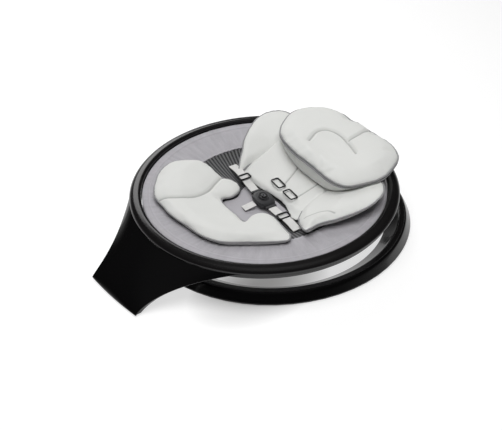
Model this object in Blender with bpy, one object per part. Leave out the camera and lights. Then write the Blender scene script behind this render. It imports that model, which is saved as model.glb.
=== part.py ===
"""Baby swing, folded flat: a seat ring on a flared leg, hinged to a floor ring, with a
fabric seat that swings inside the seat ring. Metres, +Z up, +X towards the head end,
origin on the floor under the middle of the whole swing."""

import math

import bmesh
import bpy
import numpy as np
from mathutils import Matrix, Vector

# Floor ring
BASE_HALF_LENGTH = 0.330
BASE_HALF_WIDTH = 0.316
BASE_HEIGHT = 0.030
BASE_RING_WIDTH = 0.060
BASE_TOP_WIDTH = 0.017
BASE_OUTER_LEAN = 0.013
BASE_WALL = 0.003
BASE_CLEAR_FLOOR = 0.0065
FOOT_PAD_HEIGHT = 0.0025
FOOT_PAD_RADIUS = 0.011
FOOT_PAD_ANGLES = (40, 90, 140, 220, 270, 320)
WALL_MIDDLE = 0.0170
INLET_RADIUS = 0.0050
INLET_LENGTH = 0.0095
SOCKET_RADIUS = 0.0034
SOCKET_DEPTH = 0.0080
POWER_BUTTON_RADIUS = 0.0060
POWER_BUTTON_ANGLE = math.radians(76)

# Seat ring
RING_RADIUS = 0.312
RING_WIDTH = 0.0275
RING_HEIGHT = 0.030
RING_WALL = 0.0025
RING_BACK = 0.032  # how far its middle is set towards the foot end from the floor ring's
RING_TOP = 0.112
RING_TILT = math.radians(2.2)
TRIM_HEIGHT = 0.010

# Leg
LEG_REACH = 0.456  # floor ring's middle to the leg's lower corners
LEG_BOW = 0.004
LEG_HALF_WIDTH = 0.085
LEG_HALF_ANGLE = math.radians(41)
LEG_BOTTOM = 0.004
LEG_WALL = 0.0025
LEG_DEPTH = 0.021
LEG_NARROWING = 2.2
LEG_CROWN = 1.35
LEG_LEVELS = (0.0, 0.12, 0.23, 0.33, 0.43, 0.53, 0.63, 0.72, 0.80, 0.86, 0.91, 0.95, 0.98, 1.0)
COVER_TOP = 0.43
COVER_END = 0.98
COVER_WALL = 0.0025

RELEASE_RADIUS = 0.0080
RELEASE_LENGTH = 0.0085
RELEASE_LEVEL = 0.46

# Fold hinge
PIN_RADIUS = 0.0024
PIN_HEIGHT = 0.0097
PIN_SETBACK = 0.0215
KNUCKLE_RADIUS = 0.0054
KNUCKLE_HALF = 0.0150
KNUCKLE_LENGTH = 0.020
KNUCKLE_GAP = 0.0008
ARM_HALF_WIDTH = 0.050
ARM_THICKNESS = 0.0145
ARM_PAD_HEIGHT = 0.0025

# Seat and its swing
SWING_DROP = 0.0195
SHAFT_RADIUS = 0.004
BUSH_RADIUS = 0.0065
BUSH_LENGTH = 0.012
SPRING_RADIUS = 0.0045
SPRING_THICK = 0.0022
RIM_GAP = 0.0035
RIM_WIDTH = 0.0085
RIM_HEIGHT = 0.020
RIM_TOP = 0.006
BAND_INNER_RADIUS = 0.193
BAND_INNER_DROP = 0.018
BOWL_DROP = 0.060
CLOTH = 0.002

# Padding and harness
PAD = 0.018
PAD_LIFT = 0.0045
BACK_PAD = 0.012
WING_PAD = 0.016
CROTCH_PAD = 0.006
PILLOW_PAD = 0.030
PILLOW_LIFT = 0.019
WEB_WIDTH = 0.021
WEB = 0.0016
BUCKLE_LENGTH = 0.062
BUCKLE_WIDTH = 0.044
BUCKLE_THICK = 0.013
BUTTON_RADIUS = 0.0085
TONGUE_LENGTH = 0.007
HARNESS_TURN = math.radians(-10)
HARNESS_PLACE = (-0.006, -0.004)

GAP = 0.0004
ROUND_STEPS = 56

BASE_MIDDLE = (LEG_REACH + LEG_BOW - BASE_HALF_LENGTH) / 2
RING_PLACE = Vector((BASE_MIDDLE - RING_BACK, 0.0, RING_TOP))
PIN_PLACE = Vector((BASE_MIDDLE - LEG_REACH - LEG_BOW + PIN_SETBACK, 0.0, PIN_HEIGHT))
RING_INNER = RING_RADIUS - RING_WIDTH
RIM_RADIUS = RING_INNER - RIM_GAP
BAND_OUTER = RIM_RADIUS - RIM_WIDTH - GAP


# ---------------------------------------------------------------- scene and materials


def clear_scene():
    for obj in list(bpy.data.objects):
        bpy.data.objects.remove(obj)


def finish(name, colour, roughness, metallic=0.0):
    material = bpy.data.materials.new(name)
    material.use_nodes = True
    shader = material.node_tree.nodes["Principled BSDF"]
    shader.inputs["Base Color"].default_value = (*colour, 1.0)
    shader.inputs["Roughness"].default_value = roughness
    shader.inputs["Metallic"].default_value = metallic
    return material


def finishes():
    return {
        "gloss_black": finish("gloss_black", (0.006, 0.006, 0.007), 0.12),
        "satin_black": finish("satin_black", (0.012, 0.012, 0.013), 0.35),
        "dark_plastic": finish("dark_plastic", (0.02, 0.02, 0.022), 0.5),
        "rubber": finish("rubber", (0.03, 0.03, 0.03), 0.8),
        "steel": finish("steel", (0.6, 0.6, 0.62), 0.3, 1.0),
        "alloy": finish("alloy", (0.7, 0.7, 0.72), 0.4, 1.0),
        "board": finish("board", (0.02, 0.12, 0.05), 0.5),
        "copper": finish("copper", (0.7, 0.32, 0.14), 0.35, 1.0),
        "band_fabric": finish("band_fabric", (0.50, 0.49, 0.52), 0.9),
        "mesh_fabric": finish("mesh_fabric", (0.06, 0.06, 0.065), 0.9),
        "inlay_fabric": finish("inlay_fabric", (0.78, 0.79, 0.77), 0.9),
        "grey_fabric": finish("grey_fabric", (0.36, 0.36, 0.37), 0.9),
        "webbing": finish("webbing", (0.72, 0.72, 0.70), 0.8),
        "buckle_plastic": finish("buckle_plastic", (0.045, 0.045, 0.05), 0.4),
    }


def holder(name, parent=None, location=(0, 0, 0), rotation=(0, 0, 0)):
    empty = bpy.data.objects.new(name, None)
    bpy.context.scene.collection.objects.link(empty)
    empty.parent = parent
    empty.location = location
    empty.rotation_euler = rotation
    return empty


def add(name, mesh, material, parent, location=(0, 0, 0), rotation=(0, 0, 0), smooth=35):
    obj = bpy.data.objects.new(name, mesh)
    bpy.context.scene.collection.objects.link(obj)
    obj.parent = parent
    obj.location = location
    obj.rotation_euler = rotation
    mesh.materials.clear()
    mesh.materials.append(material)
    mesh.shade_smooth()
    mesh.set_sharp_from_angle(angle=math.radians(smooth))
    return obj


def boolean(obj, other, operation="DIFFERENCE"):
    """Cuts or joins with a helper that is hidden from renders."""
    other.hide_render = True
    other.display_type = "WIRE"
    modifier = obj.modifiers.new(operation.title(), "BOOLEAN")
    modifier.operation = operation
    modifier.solver = "EXACT"
    modifier.object = other
    return modifier


# ---------------------------------------------------------------- shapes


def outward(bm):
    """The finished mesh of a closed shape, its faces turned to point out."""
    bmesh.ops.triangulate(bm, faces=[f for f in bm.faces if len(f.verts) > 4])
    bmesh.ops.recalc_face_normals(bm, faces=bm.faces)
    if bm.calc_volume(signed=True) < 0:
        bmesh.ops.reverse_faces(bm, faces=bm.faces)
    mesh = bpy.data.meshes.new("shape")
    bm.to_mesh(mesh)
    bm.free()
    return mesh


def loft(sections, closed=False):
    """A mesh of closed sections joined in order, its ends joined or capped."""
    count, points = len(sections), len(sections[0])
    bm = bmesh.new()
    rows = [[bm.verts.new(tuple(p)) for p in section] for section in sections]
    for i in range(count if closed else count - 1):
        here, there = rows[i], rows[(i + 1) % count]
        for j in range(points):
            k = (j + 1) % points
            bm.faces.new((here[j], here[k], there[k], there[j]))
    if not closed:
        bm.faces.new(rows[0][::-1])
        bm.faces.new(rows[-1])
    return outward(bm)


def turned(profile, steps=ROUND_STEPS, width_ratio=1.0, start=0.0, sweep=math.tau):
    """A closed profile of (radius, height) carried round Z, or through part of a turn."""
    whole = abs(sweep - math.tau) < 1e-9
    angles = start + sweep * np.arange(steps if whole else steps + 1) / steps
    sections = [
        [(r * math.cos(a), r * math.sin(a) * width_ratio, z) for r, z in profile] for a in angles
    ]
    return loft(sections, closed=whole)


def ring_of(outer, wide, profile, steps=ROUND_STEPS, start=0.0, sweep=math.tau):
    """A profile of (inset, height) carried round an oval of the given half sizes."""
    whole = abs(sweep - math.tau) < 1e-9
    angles = start + sweep * np.arange(steps if whole else steps + 1) / steps
    sections = [
        [((outer - i) * math.cos(a), (wide - i) * math.sin(a), z) for i, z in profile]
        for a in angles
    ]
    return loft(sections, closed=whole)


def drum(radius, length, steps=24, axis="Z"):
    """A plain cylinder centred on its own origin."""
    bm = bmesh.new()
    bmesh.ops.create_cone(
        bm, cap_ends=True, segments=steps, radius1=radius, radius2=radius, depth=length
    )
    turn = {"X": Matrix.Rotation(math.pi / 2, 4, "Y"), "Y": Matrix.Rotation(math.pi / 2, 4, "X")}
    if axis in turn:
        bmesh.ops.transform(bm, matrix=turn[axis], verts=bm.verts)
    mesh = bpy.data.meshes.new("drum")
    bm.to_mesh(mesh)
    bm.free()
    return mesh


def block(size, bevel=0.0, segments=2):
    """A box centred on its own origin, with rounded edges."""
    bm = bmesh.new()
    bmesh.ops.create_cube(bm, size=1.0)
    bmesh.ops.scale(bm, vec=size, verts=bm.verts)
    if bevel:
        bmesh.ops.bevel(
            bm, geom=bm.edges, offset=bevel, segments=segments, affect="EDGES", profile=0.5
        )
    mesh = bpy.data.meshes.new("block")
    bm.to_mesh(mesh)
    bm.free()
    return mesh


def smooth_loop(points, count):
    """A closed Catmull-Rom curve through the points, read at even steps."""
    p = np.array(points, float)
    t = np.arange(count) * len(p) / count
    i = t.astype(int)
    f = (t - i)[:, None]
    a, b, c, d = (p[(i + k) % len(p)] for k in (-1, 0, 1, 2))
    return 0.5 * (2 * b + (c - a) * f + (2 * a - 5 * b + 4 * c - d) * f**2
                  + (3 * b - a - 3 * c + d) * f**3)


def smooth_line(points, count):
    """An open Catmull-Rom curve through the points, its ends kept."""
    p = np.array(points, float)
    p = np.vstack([2 * p[0] - p[1], p, 2 * p[-1] - p[-2]])
    t = np.linspace(0, len(p) - 3 - 1e-9, count)
    i = t.astype(int) + 1
    f = (t + 1 - i)[:, None]
    a, b, c, d = p[i - 1], p[i], p[i + 1], p[i + 2]
    return 0.5 * (2 * b + (c - a) * f + (2 * a - 5 * b + 4 * c - d) * f**2
                  + (3 * b - a - 3 * c + d) * f**3)


def bed(x, y):
    """Height of the seat cloth under a point, counted from the seat ring's top."""
    r = np.hypot(x, y)
    slope = (BAND_INNER_DROP - RIM_TOP) / (BAND_OUTER - BAND_INNER_RADIUS)
    band = -BAND_INNER_DROP + (r - BAND_INNER_RADIUS) * slope
    bowl = -BOWL_DROP + (BOWL_DROP - BAND_INNER_DROP) * (r / BAND_INNER_RADIUS) ** 2
    return np.where(r > BAND_INNER_RADIUS, band, bowl)


def pad(outline, lift, thick, count=40, centre=None, rise=None):
    """A cushion of closed outline that follows the bed at a lift, full in the middle.

    rise adds to the height as a function of place."""
    loop = smooth_loop(outline, count)
    middle = loop.mean(axis=0) if centre is None else np.array(centre)
    shares = (0.35, 0.68, 0.93, 1.0, 0.93, 0.68, 0.35)
    heights = (0.0, 0.0, 0.10, 0.5, 0.90, 1.0, 1.0)

    def level(flat, part):
        z = bed(flat[..., 0], flat[..., 1]) + lift + thick * part
        return z + (rise(flat[..., 0], flat[..., 1]) if rise else 0.0)

    bm = bmesh.new()
    rows = []
    for share, part in zip(shares, heights):
        flat = middle + (loop - middle) * share
        z = level(flat, part)
        rows.append([bm.verts.new((p[0], p[1], h)) for p, h in zip(flat, z)])
    for here, there in zip(rows, rows[1:]):
        for j in range(count):
            k = (j + 1) % count
            bm.faces.new((here[j], here[k], there[k], there[j]))
    for row, part in ((rows[0], 0.0), (rows[-1], 1.0)):
        tip = bm.verts.new((middle[0], middle[1], float(level(middle, part))))
        for j in range(count):
            bm.faces.new((row[j], row[(j + 1) % count], tip))
    return outward(bm)


def web(points, width, thick, across=(0, 1, 0), count=14):
    """A flat band of webbing along a smooth line, its width along the given direction."""
    line = smooth_line(points, count)
    side = np.array(across, float)
    side /= np.linalg.norm(side)
    along = np.gradient(line, axis=0)
    up = np.cross(along, side)
    up /= np.linalg.norm(up, axis=1)[:, None]
    sections = [
        [p + side * width / 2 * s + u * thick / 2 * h for s, h in ((-1, -1), (1, -1), (1, 1), (-1, 1))]
        for p, u in zip(line, up)
    ]
    return loft(sections)


# ---------------------------------------------------------------- floor ring


def base_profile():
    """Hollow section of the floor ring as (inset, height), open underneath."""
    top_in = BASE_OUTER_LEAN + BASE_TOP_WIDTH
    low = BASE_CLEAR_FLOOR
    high = BASE_HEIGHT - 0.0018
    wall = BASE_WALL
    return [
        (0.0, low), (BASE_OUTER_LEAN - 0.002, high - 0.003), (BASE_OUTER_LEAN + 0.001, high),
        (top_in - 0.001, high), (top_in + 0.003, high - 0.003), (BASE_RING_WIDTH, low),
        (BASE_RING_WIDTH - wall * 1.5, low), (top_in, high - wall - 0.001),
        (top_in - 0.002, high - wall), (BASE_OUTER_LEAN + 0.003, high - wall),
        (BASE_OUTER_LEAN + 0.001, high - wall - 0.001), (wall * 1.2, low),
    ]


def wall_place(angle, height):
    """Place and turn on the floor ring's outer wall, +Z of the turn pointing out of it."""
    share = (height - BASE_CLEAR_FLOOR) / (BASE_HEIGHT - BASE_CLEAR_FLOOR)
    a = BASE_HALF_LENGTH - BASE_OUTER_LEAN * share
    b = BASE_HALF_WIDTH - BASE_OUTER_LEAN * share
    place = Vector((a * math.cos(angle), b * math.sin(angle), height))
    lean = math.atan2(BASE_OUTER_LEAN, BASE_HEIGHT - BASE_CLEAR_FLOOR)
    out = Vector((math.cos(angle) / a, math.sin(angle) / b, 0)).normalized()
    out = (out * math.cos(lean) + Vector((0, 0, 1)) * math.sin(lean)).normalized()
    return place, out.to_track_quat("Z", "Y").to_euler(), out


def make_base(skins):
    rig = holder("base_rig", location=(BASE_MIDDLE, 0, 0))
    ring = add(
        "base_ring",
        ring_of(BASE_HALF_LENGTH, BASE_HALF_WIDTH, base_profile()),
        skins["gloss_black"], rig,
    )
    top_in = BASE_OUTER_LEAN + BASE_TOP_WIDTH
    trim = [
        (BASE_OUTER_LEAN + 0.0025, BASE_HEIGHT - 0.0018 + GAP),
        (BASE_OUTER_LEAN + 0.0030, BASE_HEIGHT),
        (top_in - 0.0030, BASE_HEIGHT),
        (top_in - 0.0025, BASE_HEIGHT - 0.0018 + GAP),
    ]
    add("base_top_trim", ring_of(BASE_HALF_LENGTH, BASE_HALF_WIDTH, trim),
        skins["satin_black"], rig)
    cover_low, cover_high = FOOT_PAD_HEIGHT + GAP, BASE_CLEAR_FLOOR - GAP
    cover = [(0.002, cover_low), (0.002, cover_high),
             (BASE_RING_WIDTH - 0.002, cover_high), (BASE_RING_WIDTH - 0.002, cover_low)]
    add("base_cover", ring_of(BASE_HALF_LENGTH, BASE_HALF_WIDTH, cover),
        skins["dark_plastic"], rig)
    middle_inset = BASE_RING_WIDTH / 2
    for n, degrees in enumerate(FOOT_PAD_ANGLES):
        a = math.radians(degrees)
        place = ((BASE_HALF_LENGTH - middle_inset) * math.cos(a),
                 (BASE_HALF_WIDTH - middle_inset) * math.sin(a), FOOT_PAD_HEIGHT / 2)
        add(f"foot_pad_{n + 1}", drum(FOOT_PAD_RADIUS, FOOT_PAD_HEIGHT, 16),
            skins["rubber"], rig, place)
    ballast = [(0.012, 0.0085), (0.017, 0.0195), (0.027, 0.0195), (0.040, 0.0085)]
    add("ballast_weight",
        ring_of(BASE_HALF_LENGTH, BASE_HALF_WIDTH, ballast, 20, math.radians(-35), math.radians(70)),
        skins["steel"], rig)
    board = [(0.014, 0.0080), (0.014, 0.0098), (0.040, 0.0098), (0.040, 0.0080)]
    add("control_board",
        ring_of(BASE_HALF_LENGTH, BASE_HALF_WIDTH, board, 10, math.radians(68), math.radians(38)),
        skins["board"], rig)

    place, turn, out = wall_place(math.pi / 2, WALL_MIDDLE)
    level = (-math.pi / 2, 0, 0)
    hole = add("inlet_hole", drum(INLET_RADIUS + GAP, 0.020, 24), skins["dark_plastic"], rig,
               place, level)
    boolean(ring, hole)
    inlet = add("power_inlet", drum(INLET_RADIUS, INLET_LENGTH, 24), skins["dark_plastic"], rig,
                place - Vector((0, INLET_LENGTH / 2 - 0.001, 0)), level)
    socket = add("inlet_socket", drum(SOCKET_RADIUS, 2 * SOCKET_DEPTH, 24), skins["dark_plastic"],
                 rig, place + Vector((0, 0.001, 0)), level)
    boolean(inlet, socket)
    place, turn, out = wall_place(POWER_BUTTON_ANGLE, WALL_MIDDLE)
    hole = add("button_hole", drum(POWER_BUTTON_RADIUS + GAP, 0.016, 24), skins["dark_plastic"],
               rig, place, turn)
    boolean(ring, hole)
    add("power_button", drum(POWER_BUTTON_RADIUS, 0.0060, 24), skins["satin_black"], rig,
        place - out * 0.0015, turn)
    bumper = (0.014, 0.026, 0.007)
    fall = math.atan2(BASE_HEIGHT - 0.0018 - 0.003 - BASE_CLEAR_FLOOR,
                      BASE_RING_WIDTH - top_in - 0.003)
    for n, side in enumerate((-1, 1)):
        a = math.radians(side * 13)
        off = bumper[2] / 2 + 0.0012
        inset = (BASE_RING_WIDTH + top_in + 0.003) / 2 + off * math.sin(fall)
        height = (BASE_HEIGHT - 0.0048 + BASE_CLEAR_FLOOR) / 2 + off * math.cos(fall)
        spot = ((BASE_HALF_LENGTH - inset) * math.cos(a), (BASE_HALF_WIDTH - inset) * math.sin(a),
                height)
        add(f"rest_bumper_{n + 1}", block(bumper, 0.002), skins["rubber"], rig, spot,
            (0, -fall, a))
    return rig, ring


# ---------------------------------------------------------------- fold hinge


def make_arm(skins, rig):
    """Arm from the floor ring's foot end out to the hinge pin."""
    pin = PIN_PLACE - Vector((BASE_MIDDLE, 0, 0))
    low, high = ARM_PAD_HEIGHT + GAP, ARM_PAD_HEIGHT + GAP + ARM_THICKNESS
    front = pin.x + KNUCKLE_RADIUS + 0.0030
    lean = BASE_OUTER_LEAN / (BASE_HEIGHT - BASE_CLEAR_FLOOR)

    def meets_ring(y, z):
        inset = max(0.0, z - BASE_CLEAR_FLOOR) * lean
        a, b = BASE_HALF_LENGTH - inset + 0.0012, BASE_HALF_WIDTH - inset + 0.0012
        return -a * math.sqrt(1 - (y / b) ** 2)

    sections = []
    for y in np.linspace(-ARM_HALF_WIDTH, ARM_HALF_WIDTH, 13):
        sections.append([
            (front, y, low), (meets_ring(y, low), y, low), (meets_ring(y, low), y, BASE_CLEAR_FLOOR),
            (meets_ring(y, high), y, high), (front + 0.014, y, high), (front, y, high - 0.009),
        ])
    arm = add("hinge_arm", loft(sections), skins["satin_black"], rig)
    spans = [(-KNUCKLE_HALF, KNUCKLE_HALF)]
    outer = KNUCKLE_HALF + KNUCKLE_LENGTH + 2 * KNUCKLE_GAP
    spans += [(outer, ARM_HALF_WIDTH), (-ARM_HALF_WIDTH, -outer)]
    for n, (y0, y1) in enumerate(spans):
        knuckle = add(f"arm_knuckle_{n}", drum(KNUCKLE_RADIUS, y1 - y0, 24, "Y"),
                      skins["satin_black"], rig, (pin.x, (y0 + y1) / 2, pin.z))
        boolean(arm, knuckle, "UNION")
        web_size = (KNUCKLE_RADIUS + 0.006, y1 - y0, KNUCKLE_RADIUS * 1.4)
        link = add(f"arm_link_{n}", block(web_size), skins["satin_black"], rig,
                   (pin.x + web_size[0] / 2 + 0.0003, (y0 + y1) / 2, pin.z))
        boolean(arm, link, "UNION")
    bore = add("arm_bore", drum(PIN_RADIUS + GAP, 2 * ARM_HALF_WIDTH + 0.01, 24, "Y"),
               skins["satin_black"], rig, pin)
    boolean(arm, bore)
    add("hinge_pin", drum(PIN_RADIUS, 2 * ARM_HALF_WIDTH + 0.004, 24, "Y"), skins["steel"], rig, pin)
    for n, side in enumerate((-1, 1)):
        add(f"arm_pad_{n + 1}", block((0.016, 0.040, ARM_PAD_HEIGHT)), skins["rubber"], rig,
            (pin.x + 0.030, side * 0.035, ARM_PAD_HEIGHT / 2))
    return arm


# ---------------------------------------------------------------- seat ring and leg


def to_ring(point):
    """A point of the seat ring's own frame, in the frame of the fold axis."""
    turn = Matrix.Rotation(-RING_TILT, 3, "Y")
    return turn @ Vector(point) + RING_PLACE - PIN_PLACE


def leg_surface(u, v):
    """Outer face of the leg: u across from -1 to 1, v from the seat ring down to the floor."""
    angle = math.pi - u * LEG_HALF_ANGLE
    radius = RING_RADIUS - 0.0015
    top = to_ring((radius * math.cos(angle), radius * math.sin(angle), -TRIM_HEIGHT - 3 * GAP))
    bottom = Vector((
        BASE_MIDDLE - LEG_REACH - LEG_BOW * (1 - u * u) - PIN_PLACE.x,
        LEG_HALF_WIDTH * u,
        LEG_BOTTOM - PIN_PLACE.z,
    ))
    narrow = (1 - v) ** LEG_NARROWING
    return Vector((
        bottom.x + (top.x - bottom.x) * (1 - v) ** LEG_CROWN,
        bottom.y + (top.y - bottom.y) * narrow,
        bottom.z + (top.z - bottom.z) * (1 - v),
    ))


def leg_inside(u, v, depth):
    """A point at a depth below the leg's outer face, along its normal."""
    step = 1e-3
    across = leg_surface(u + step, v) - leg_surface(u - step, v)
    down = leg_surface(u, min(1.0, v + step)) - leg_surface(u, max(0.0, v - step))
    normal = down.cross(across).normalized()
    place = leg_surface(u, v)
    if normal.dot(place - to_ring((0, 0, 0))) < 0:
        normal.negate()
    return place - normal * depth


def plate(rows, inner_rows):
    """A closed plate between two matching grids of points."""
    bm = bmesh.new()
    front = [[bm.verts.new(tuple(p)) for p in row] for row in rows]
    back = [[bm.verts.new(tuple(p)) for p in row] for row in inner_rows]
    for grid in (front, back):
        for here, there in zip(grid, grid[1:]):
            for j in range(len(here) - 1):
                bm.faces.new((here[j], here[j + 1], there[j + 1], there[j]))
    rims = ((front[0], back[0]), (front[-1], back[-1]),
            ([r[0] for r in front], [r[0] for r in back]),
            ([r[-1] for r in front], [r[-1] for r in back]))
    for edge, other in rims:
        for j in range(len(edge) - 1):
            bm.faces.new((edge[j], edge[j + 1], other[j + 1], other[j]))
    return outward(bm)


def make_leg(skins, rig, knuckle_spans):
    across = np.linspace(-1, 1, 33)
    outer = [[leg_surface(u, v) for u in across] for v in LEG_LEVELS]
    inner = [[leg_inside(u, v, LEG_WALL) for u in across] for v in LEG_LEVELS]
    add("leg_skin", plate(outer, inner), skins["gloss_black"], rig)

    shallow = LEG_WALL + GAP
    edges = ((0.985, 0.0), (0.985, 0.60), (0.95, 0.90), (0.86, 1.0), (0.5, 1.0), (0.0, 1.0))

    def tray(v, inset, wall):
        """One row across the cover, whose sides run level, straight back from the outer face."""
        facing = (leg_surface(0.0, v) - leg_inside(0.0, v, 1.0)).dot(Vector((-1, 0, 0)))
        reach = (LEG_DEPTH - wall - shallow) / facing
        half = [(u - inset * (u > 0.5), reach * d) for u, d in edges]
        row = [(-u, d) for u, d in half] + half[-2::-1]
        return [leg_inside(u, v, shallow) + Vector((d, 0, 0)) for u, d in row]

    levels = [v for v in LEG_LEVELS if COVER_TOP <= v <= COVER_END]
    cover = add(
        "leg_cover",
        plate([tray(v, 0.0, 0.0) for v in levels], [tray(v, 0.035, COVER_WALL) for v in levels]),
        skins["gloss_black"], rig,
    )
    notch_top = ARM_PAD_HEIGHT + ARM_THICKNESS + 0.006
    notch = add("cover_notch", block((0.12, 2 * ARM_HALF_WIDTH + 0.007, 0.06)),
                skins["gloss_black"], rig, (0.045, 0, notch_top - 0.03 - PIN_PLACE.z))
    boolean(cover, notch)
    centre = leg_inside(0.0, RELEASE_LEVEL, LEG_DEPTH - 0.0015)
    outside = (centre - leg_inside(0.0, RELEASE_LEVEL, 0.0)).normalized()
    turn = outside.to_track_quat("Z", "Y").to_euler()
    hole = add("release_hole", drum(RELEASE_RADIUS + GAP, 0.012, 24), skins["gloss_black"], rig,
               centre, turn)
    boolean(cover, hole)
    add("fold_release", drum(RELEASE_RADIUS, RELEASE_LENGTH, 24), skins["satin_black"], rig,
        centre, turn)

    levels = np.linspace(0.34, 0.71, 6)
    span = (-0.46, -0.23, 0.0, 0.23, 0.46)
    frame = add(
        "leg_frame",
        plate([[leg_inside(u, v, 0.0070) for u in span] for v in levels],
              [[leg_inside(u, v, 0.0120) for u in span] for v in levels]),
        skins["alloy"], rig,
    )
    target = leg_inside(0.0, 0.68, 0.0095)
    for n, (y0, y1) in enumerate(knuckle_spans):
        knuckle = add(f"leg_knuckle_{n}", drum(KNUCKLE_RADIUS, y1 - y0, 24, "Y"),
                      skins["alloy"], rig, (0, (y0 + y1) / 2, 0))
        boolean(frame, knuckle, "UNION")
        reach = math.hypot(target.x, target.z)
        slope = math.atan2(target.z, target.x)
        tab = add(f"leg_tab_{n}", block((reach, y1 - y0 - 0.002, 0.005)), skins["alloy"], rig,
                  (target.x / 2, (y0 + y1) / 2, target.z / 2), (0, -slope, 0))
        boolean(frame, tab, "UNION")
    bore = add("leg_bore", drum(PIN_RADIUS + GAP, 0.12, 24, "Y"), skins["alloy"], rig)
    boolean(frame, bore)
    return cover


def make_ring(skins, rig):
    """Seat ring: hollow shell below, top trim with its lip, pivot bushes and drive coil."""
    ring_rig = holder("ring_rig", rig, RING_PLACE - PIN_PLACE, (0, -RING_TILT, 0))
    low, high = -RING_HEIGHT, -TRIM_HEIGHT - GAP
    outer, inner, wall = RING_RADIUS - 0.0065, RING_INNER, RING_WALL
    shell = [
        (outer, high), (outer - 0.001, low + 0.006), (outer - 0.007, low),
        (inner + 0.004, low), (inner, low + 0.004), (inner, high),
        (inner + wall, high), (inner + wall, low + 0.0055), (inner + 0.0055, low + wall),
        (outer - 0.0085, low + wall), (outer - wall - 0.001, low + 0.0075), (outer - wall, high),
    ]
    ring = add("seat_ring_shell", turned(shell), skins["gloss_black"], ring_rig)
    trim = [
        (inner, -TRIM_HEIGHT), (inner, -0.0015), (inner + 0.0020, 0.0015), (inner + 0.009, 0.0030),
        (RING_RADIUS - 0.009, 0.0010), (RING_RADIUS - 0.0025, -0.0030),
        (RING_RADIUS, -0.0070), (RING_RADIUS - 0.0008, -TRIM_HEIGHT),
        (RING_RADIUS - 0.0040, -TRIM_HEIGHT), (RING_RADIUS - 0.0050, -0.0065),
        (inner + 0.0050, -0.0035), (inner + 0.0030, -TRIM_HEIGHT),
    ]
    add("seat_ring_trim", turned(trim), skins["satin_black"], ring_rig)
    bush_place = RING_INNER + GAP + BUSH_LENGTH / 2
    for name, side in (("foot", -1), ("head", 1)):
        hole = add(f"{name}_bush_hole", drum(BUSH_RADIUS + GAP, 0.010, 24, "X"),
                   skins["dark_plastic"], ring_rig, (side * RING_INNER, 0, -SWING_DROP))
        boolean(ring, hole)
        bush = add(f"{name}_pivot_bush", drum(BUSH_RADIUS, BUSH_LENGTH, 24, "X"),
                   skins["dark_plastic"], ring_rig, (side * bush_place, 0, -SWING_DROP))
        bore = add(f"{name}_bush_bore", drum(SHAFT_RADIUS + GAP, BUSH_LENGTH + 0.01, 24, "X"),
                   skins["dark_plastic"], ring_rig, (side * bush_place, 0, -SWING_DROP))
        boolean(bush, bore)
        spring_place = RING_INNER + GAP + BUSH_LENGTH + GAP + SPRING_THICK / 2
        add(f"{name}_centring_spring", drum(SPRING_RADIUS, SPRING_THICK, 24, "X"), skins["steel"],
            ring_rig, (side * spring_place, 0, -SWING_DROP))
    coil = [(RING_INNER + 0.0055, -0.0245), (RING_INNER + 0.0055, -0.0125),
            (RING_INNER + 0.0125, -0.0125), (RING_INNER + 0.0125, -0.0245)]
    add("drive_coil", turned(coil, 6, 1.0, math.pi + math.radians(6), math.radians(10)),
        skins["copper"], ring_rig)
    return ring_rig


# ---------------------------------------------------------------- seat


def make_seat(skins, ring_rig):
    swing = holder("swing_rig", ring_rig, (0, 0, -SWING_DROP))
    rig = holder("seat_rig", swing, (0, 0, SWING_DROP))
    outer, inner = RIM_RADIUS, RIM_RADIUS - RIM_WIDTH
    top, low = -RIM_TOP, -RIM_TOP - RIM_HEIGHT
    soft = 0.002
    rim = [(outer, low + soft), (outer, top - soft), (outer - soft, top), (inner + soft, top),
           (inner, top - soft), (inner, low + soft), (inner + soft, low), (outer - soft, low)]
    rim_obj = add("seat_rim", turned(rim), skins["dark_plastic"], rig)
    shaft_length = RIM_GAP + BUSH_LENGTH + 0.0038
    for name, side in (("foot", -1), ("head", 1)):
        spot = side * (RIM_RADIUS - 0.0040 + shaft_length / 2)
        hole = add(f"{name}_shaft_hole", drum(SHAFT_RADIUS + GAP, 0.009, 24, "X"),
                   skins["steel"], rig, (side * RIM_RADIUS, 0, -SWING_DROP))
        boolean(rim_obj, hole)
        add(f"{name}_pivot_shaft", drum(SHAFT_RADIUS, shaft_length, 24, "X"), skins["steel"], rig,
            (spot, 0, -SWING_DROP))
    magnet = [(inner - 0.0075, -0.0250), (inner - 0.0075, -0.0120),
              (inner - 3 * GAP, -0.0120), (inner - 3 * GAP, -0.0250)]
    a = math.pi + math.radians(6)
    band_low = [(BAND_OUTER, -RIM_TOP), (BAND_INNER_RADIUS + GAP, -BAND_INNER_DROP),
                (BAND_INNER_RADIUS + GAP, -BAND_INNER_DROP - CLOTH), (BAND_OUTER, -RIM_TOP - CLOTH)]
    add("fabric_band", turned(band_low), skins["band_fabric"], rig)
    add("drive_magnet", turned(magnet, 4, 1.0, a, math.radians(8)), skins["steel"], rig)
    radii = np.linspace(0.0, BAND_INNER_RADIUS - GAP, 6)[1:]
    upper = [(r, float(bed(r, 0.0))) for r in radii]
    profile = [(0.004, float(bed(0.0, 0.0)))] + upper
    profile += [(r, z - CLOTH) for r, z in reversed(profile)]
    bowl = turned(profile, 40)
    bowl_obj = add("mesh_bowl", bowl, skins["mesh_fabric"], rig)
    plug = add("bowl_middle", drum(0.006, CLOTH, 12), skins["mesh_fabric"], rig,
               (0, 0, float(bed(0.0, 0.0)) - CLOTH / 2))
    boolean(bowl_obj, plug, "UNION")
    return rig


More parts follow.
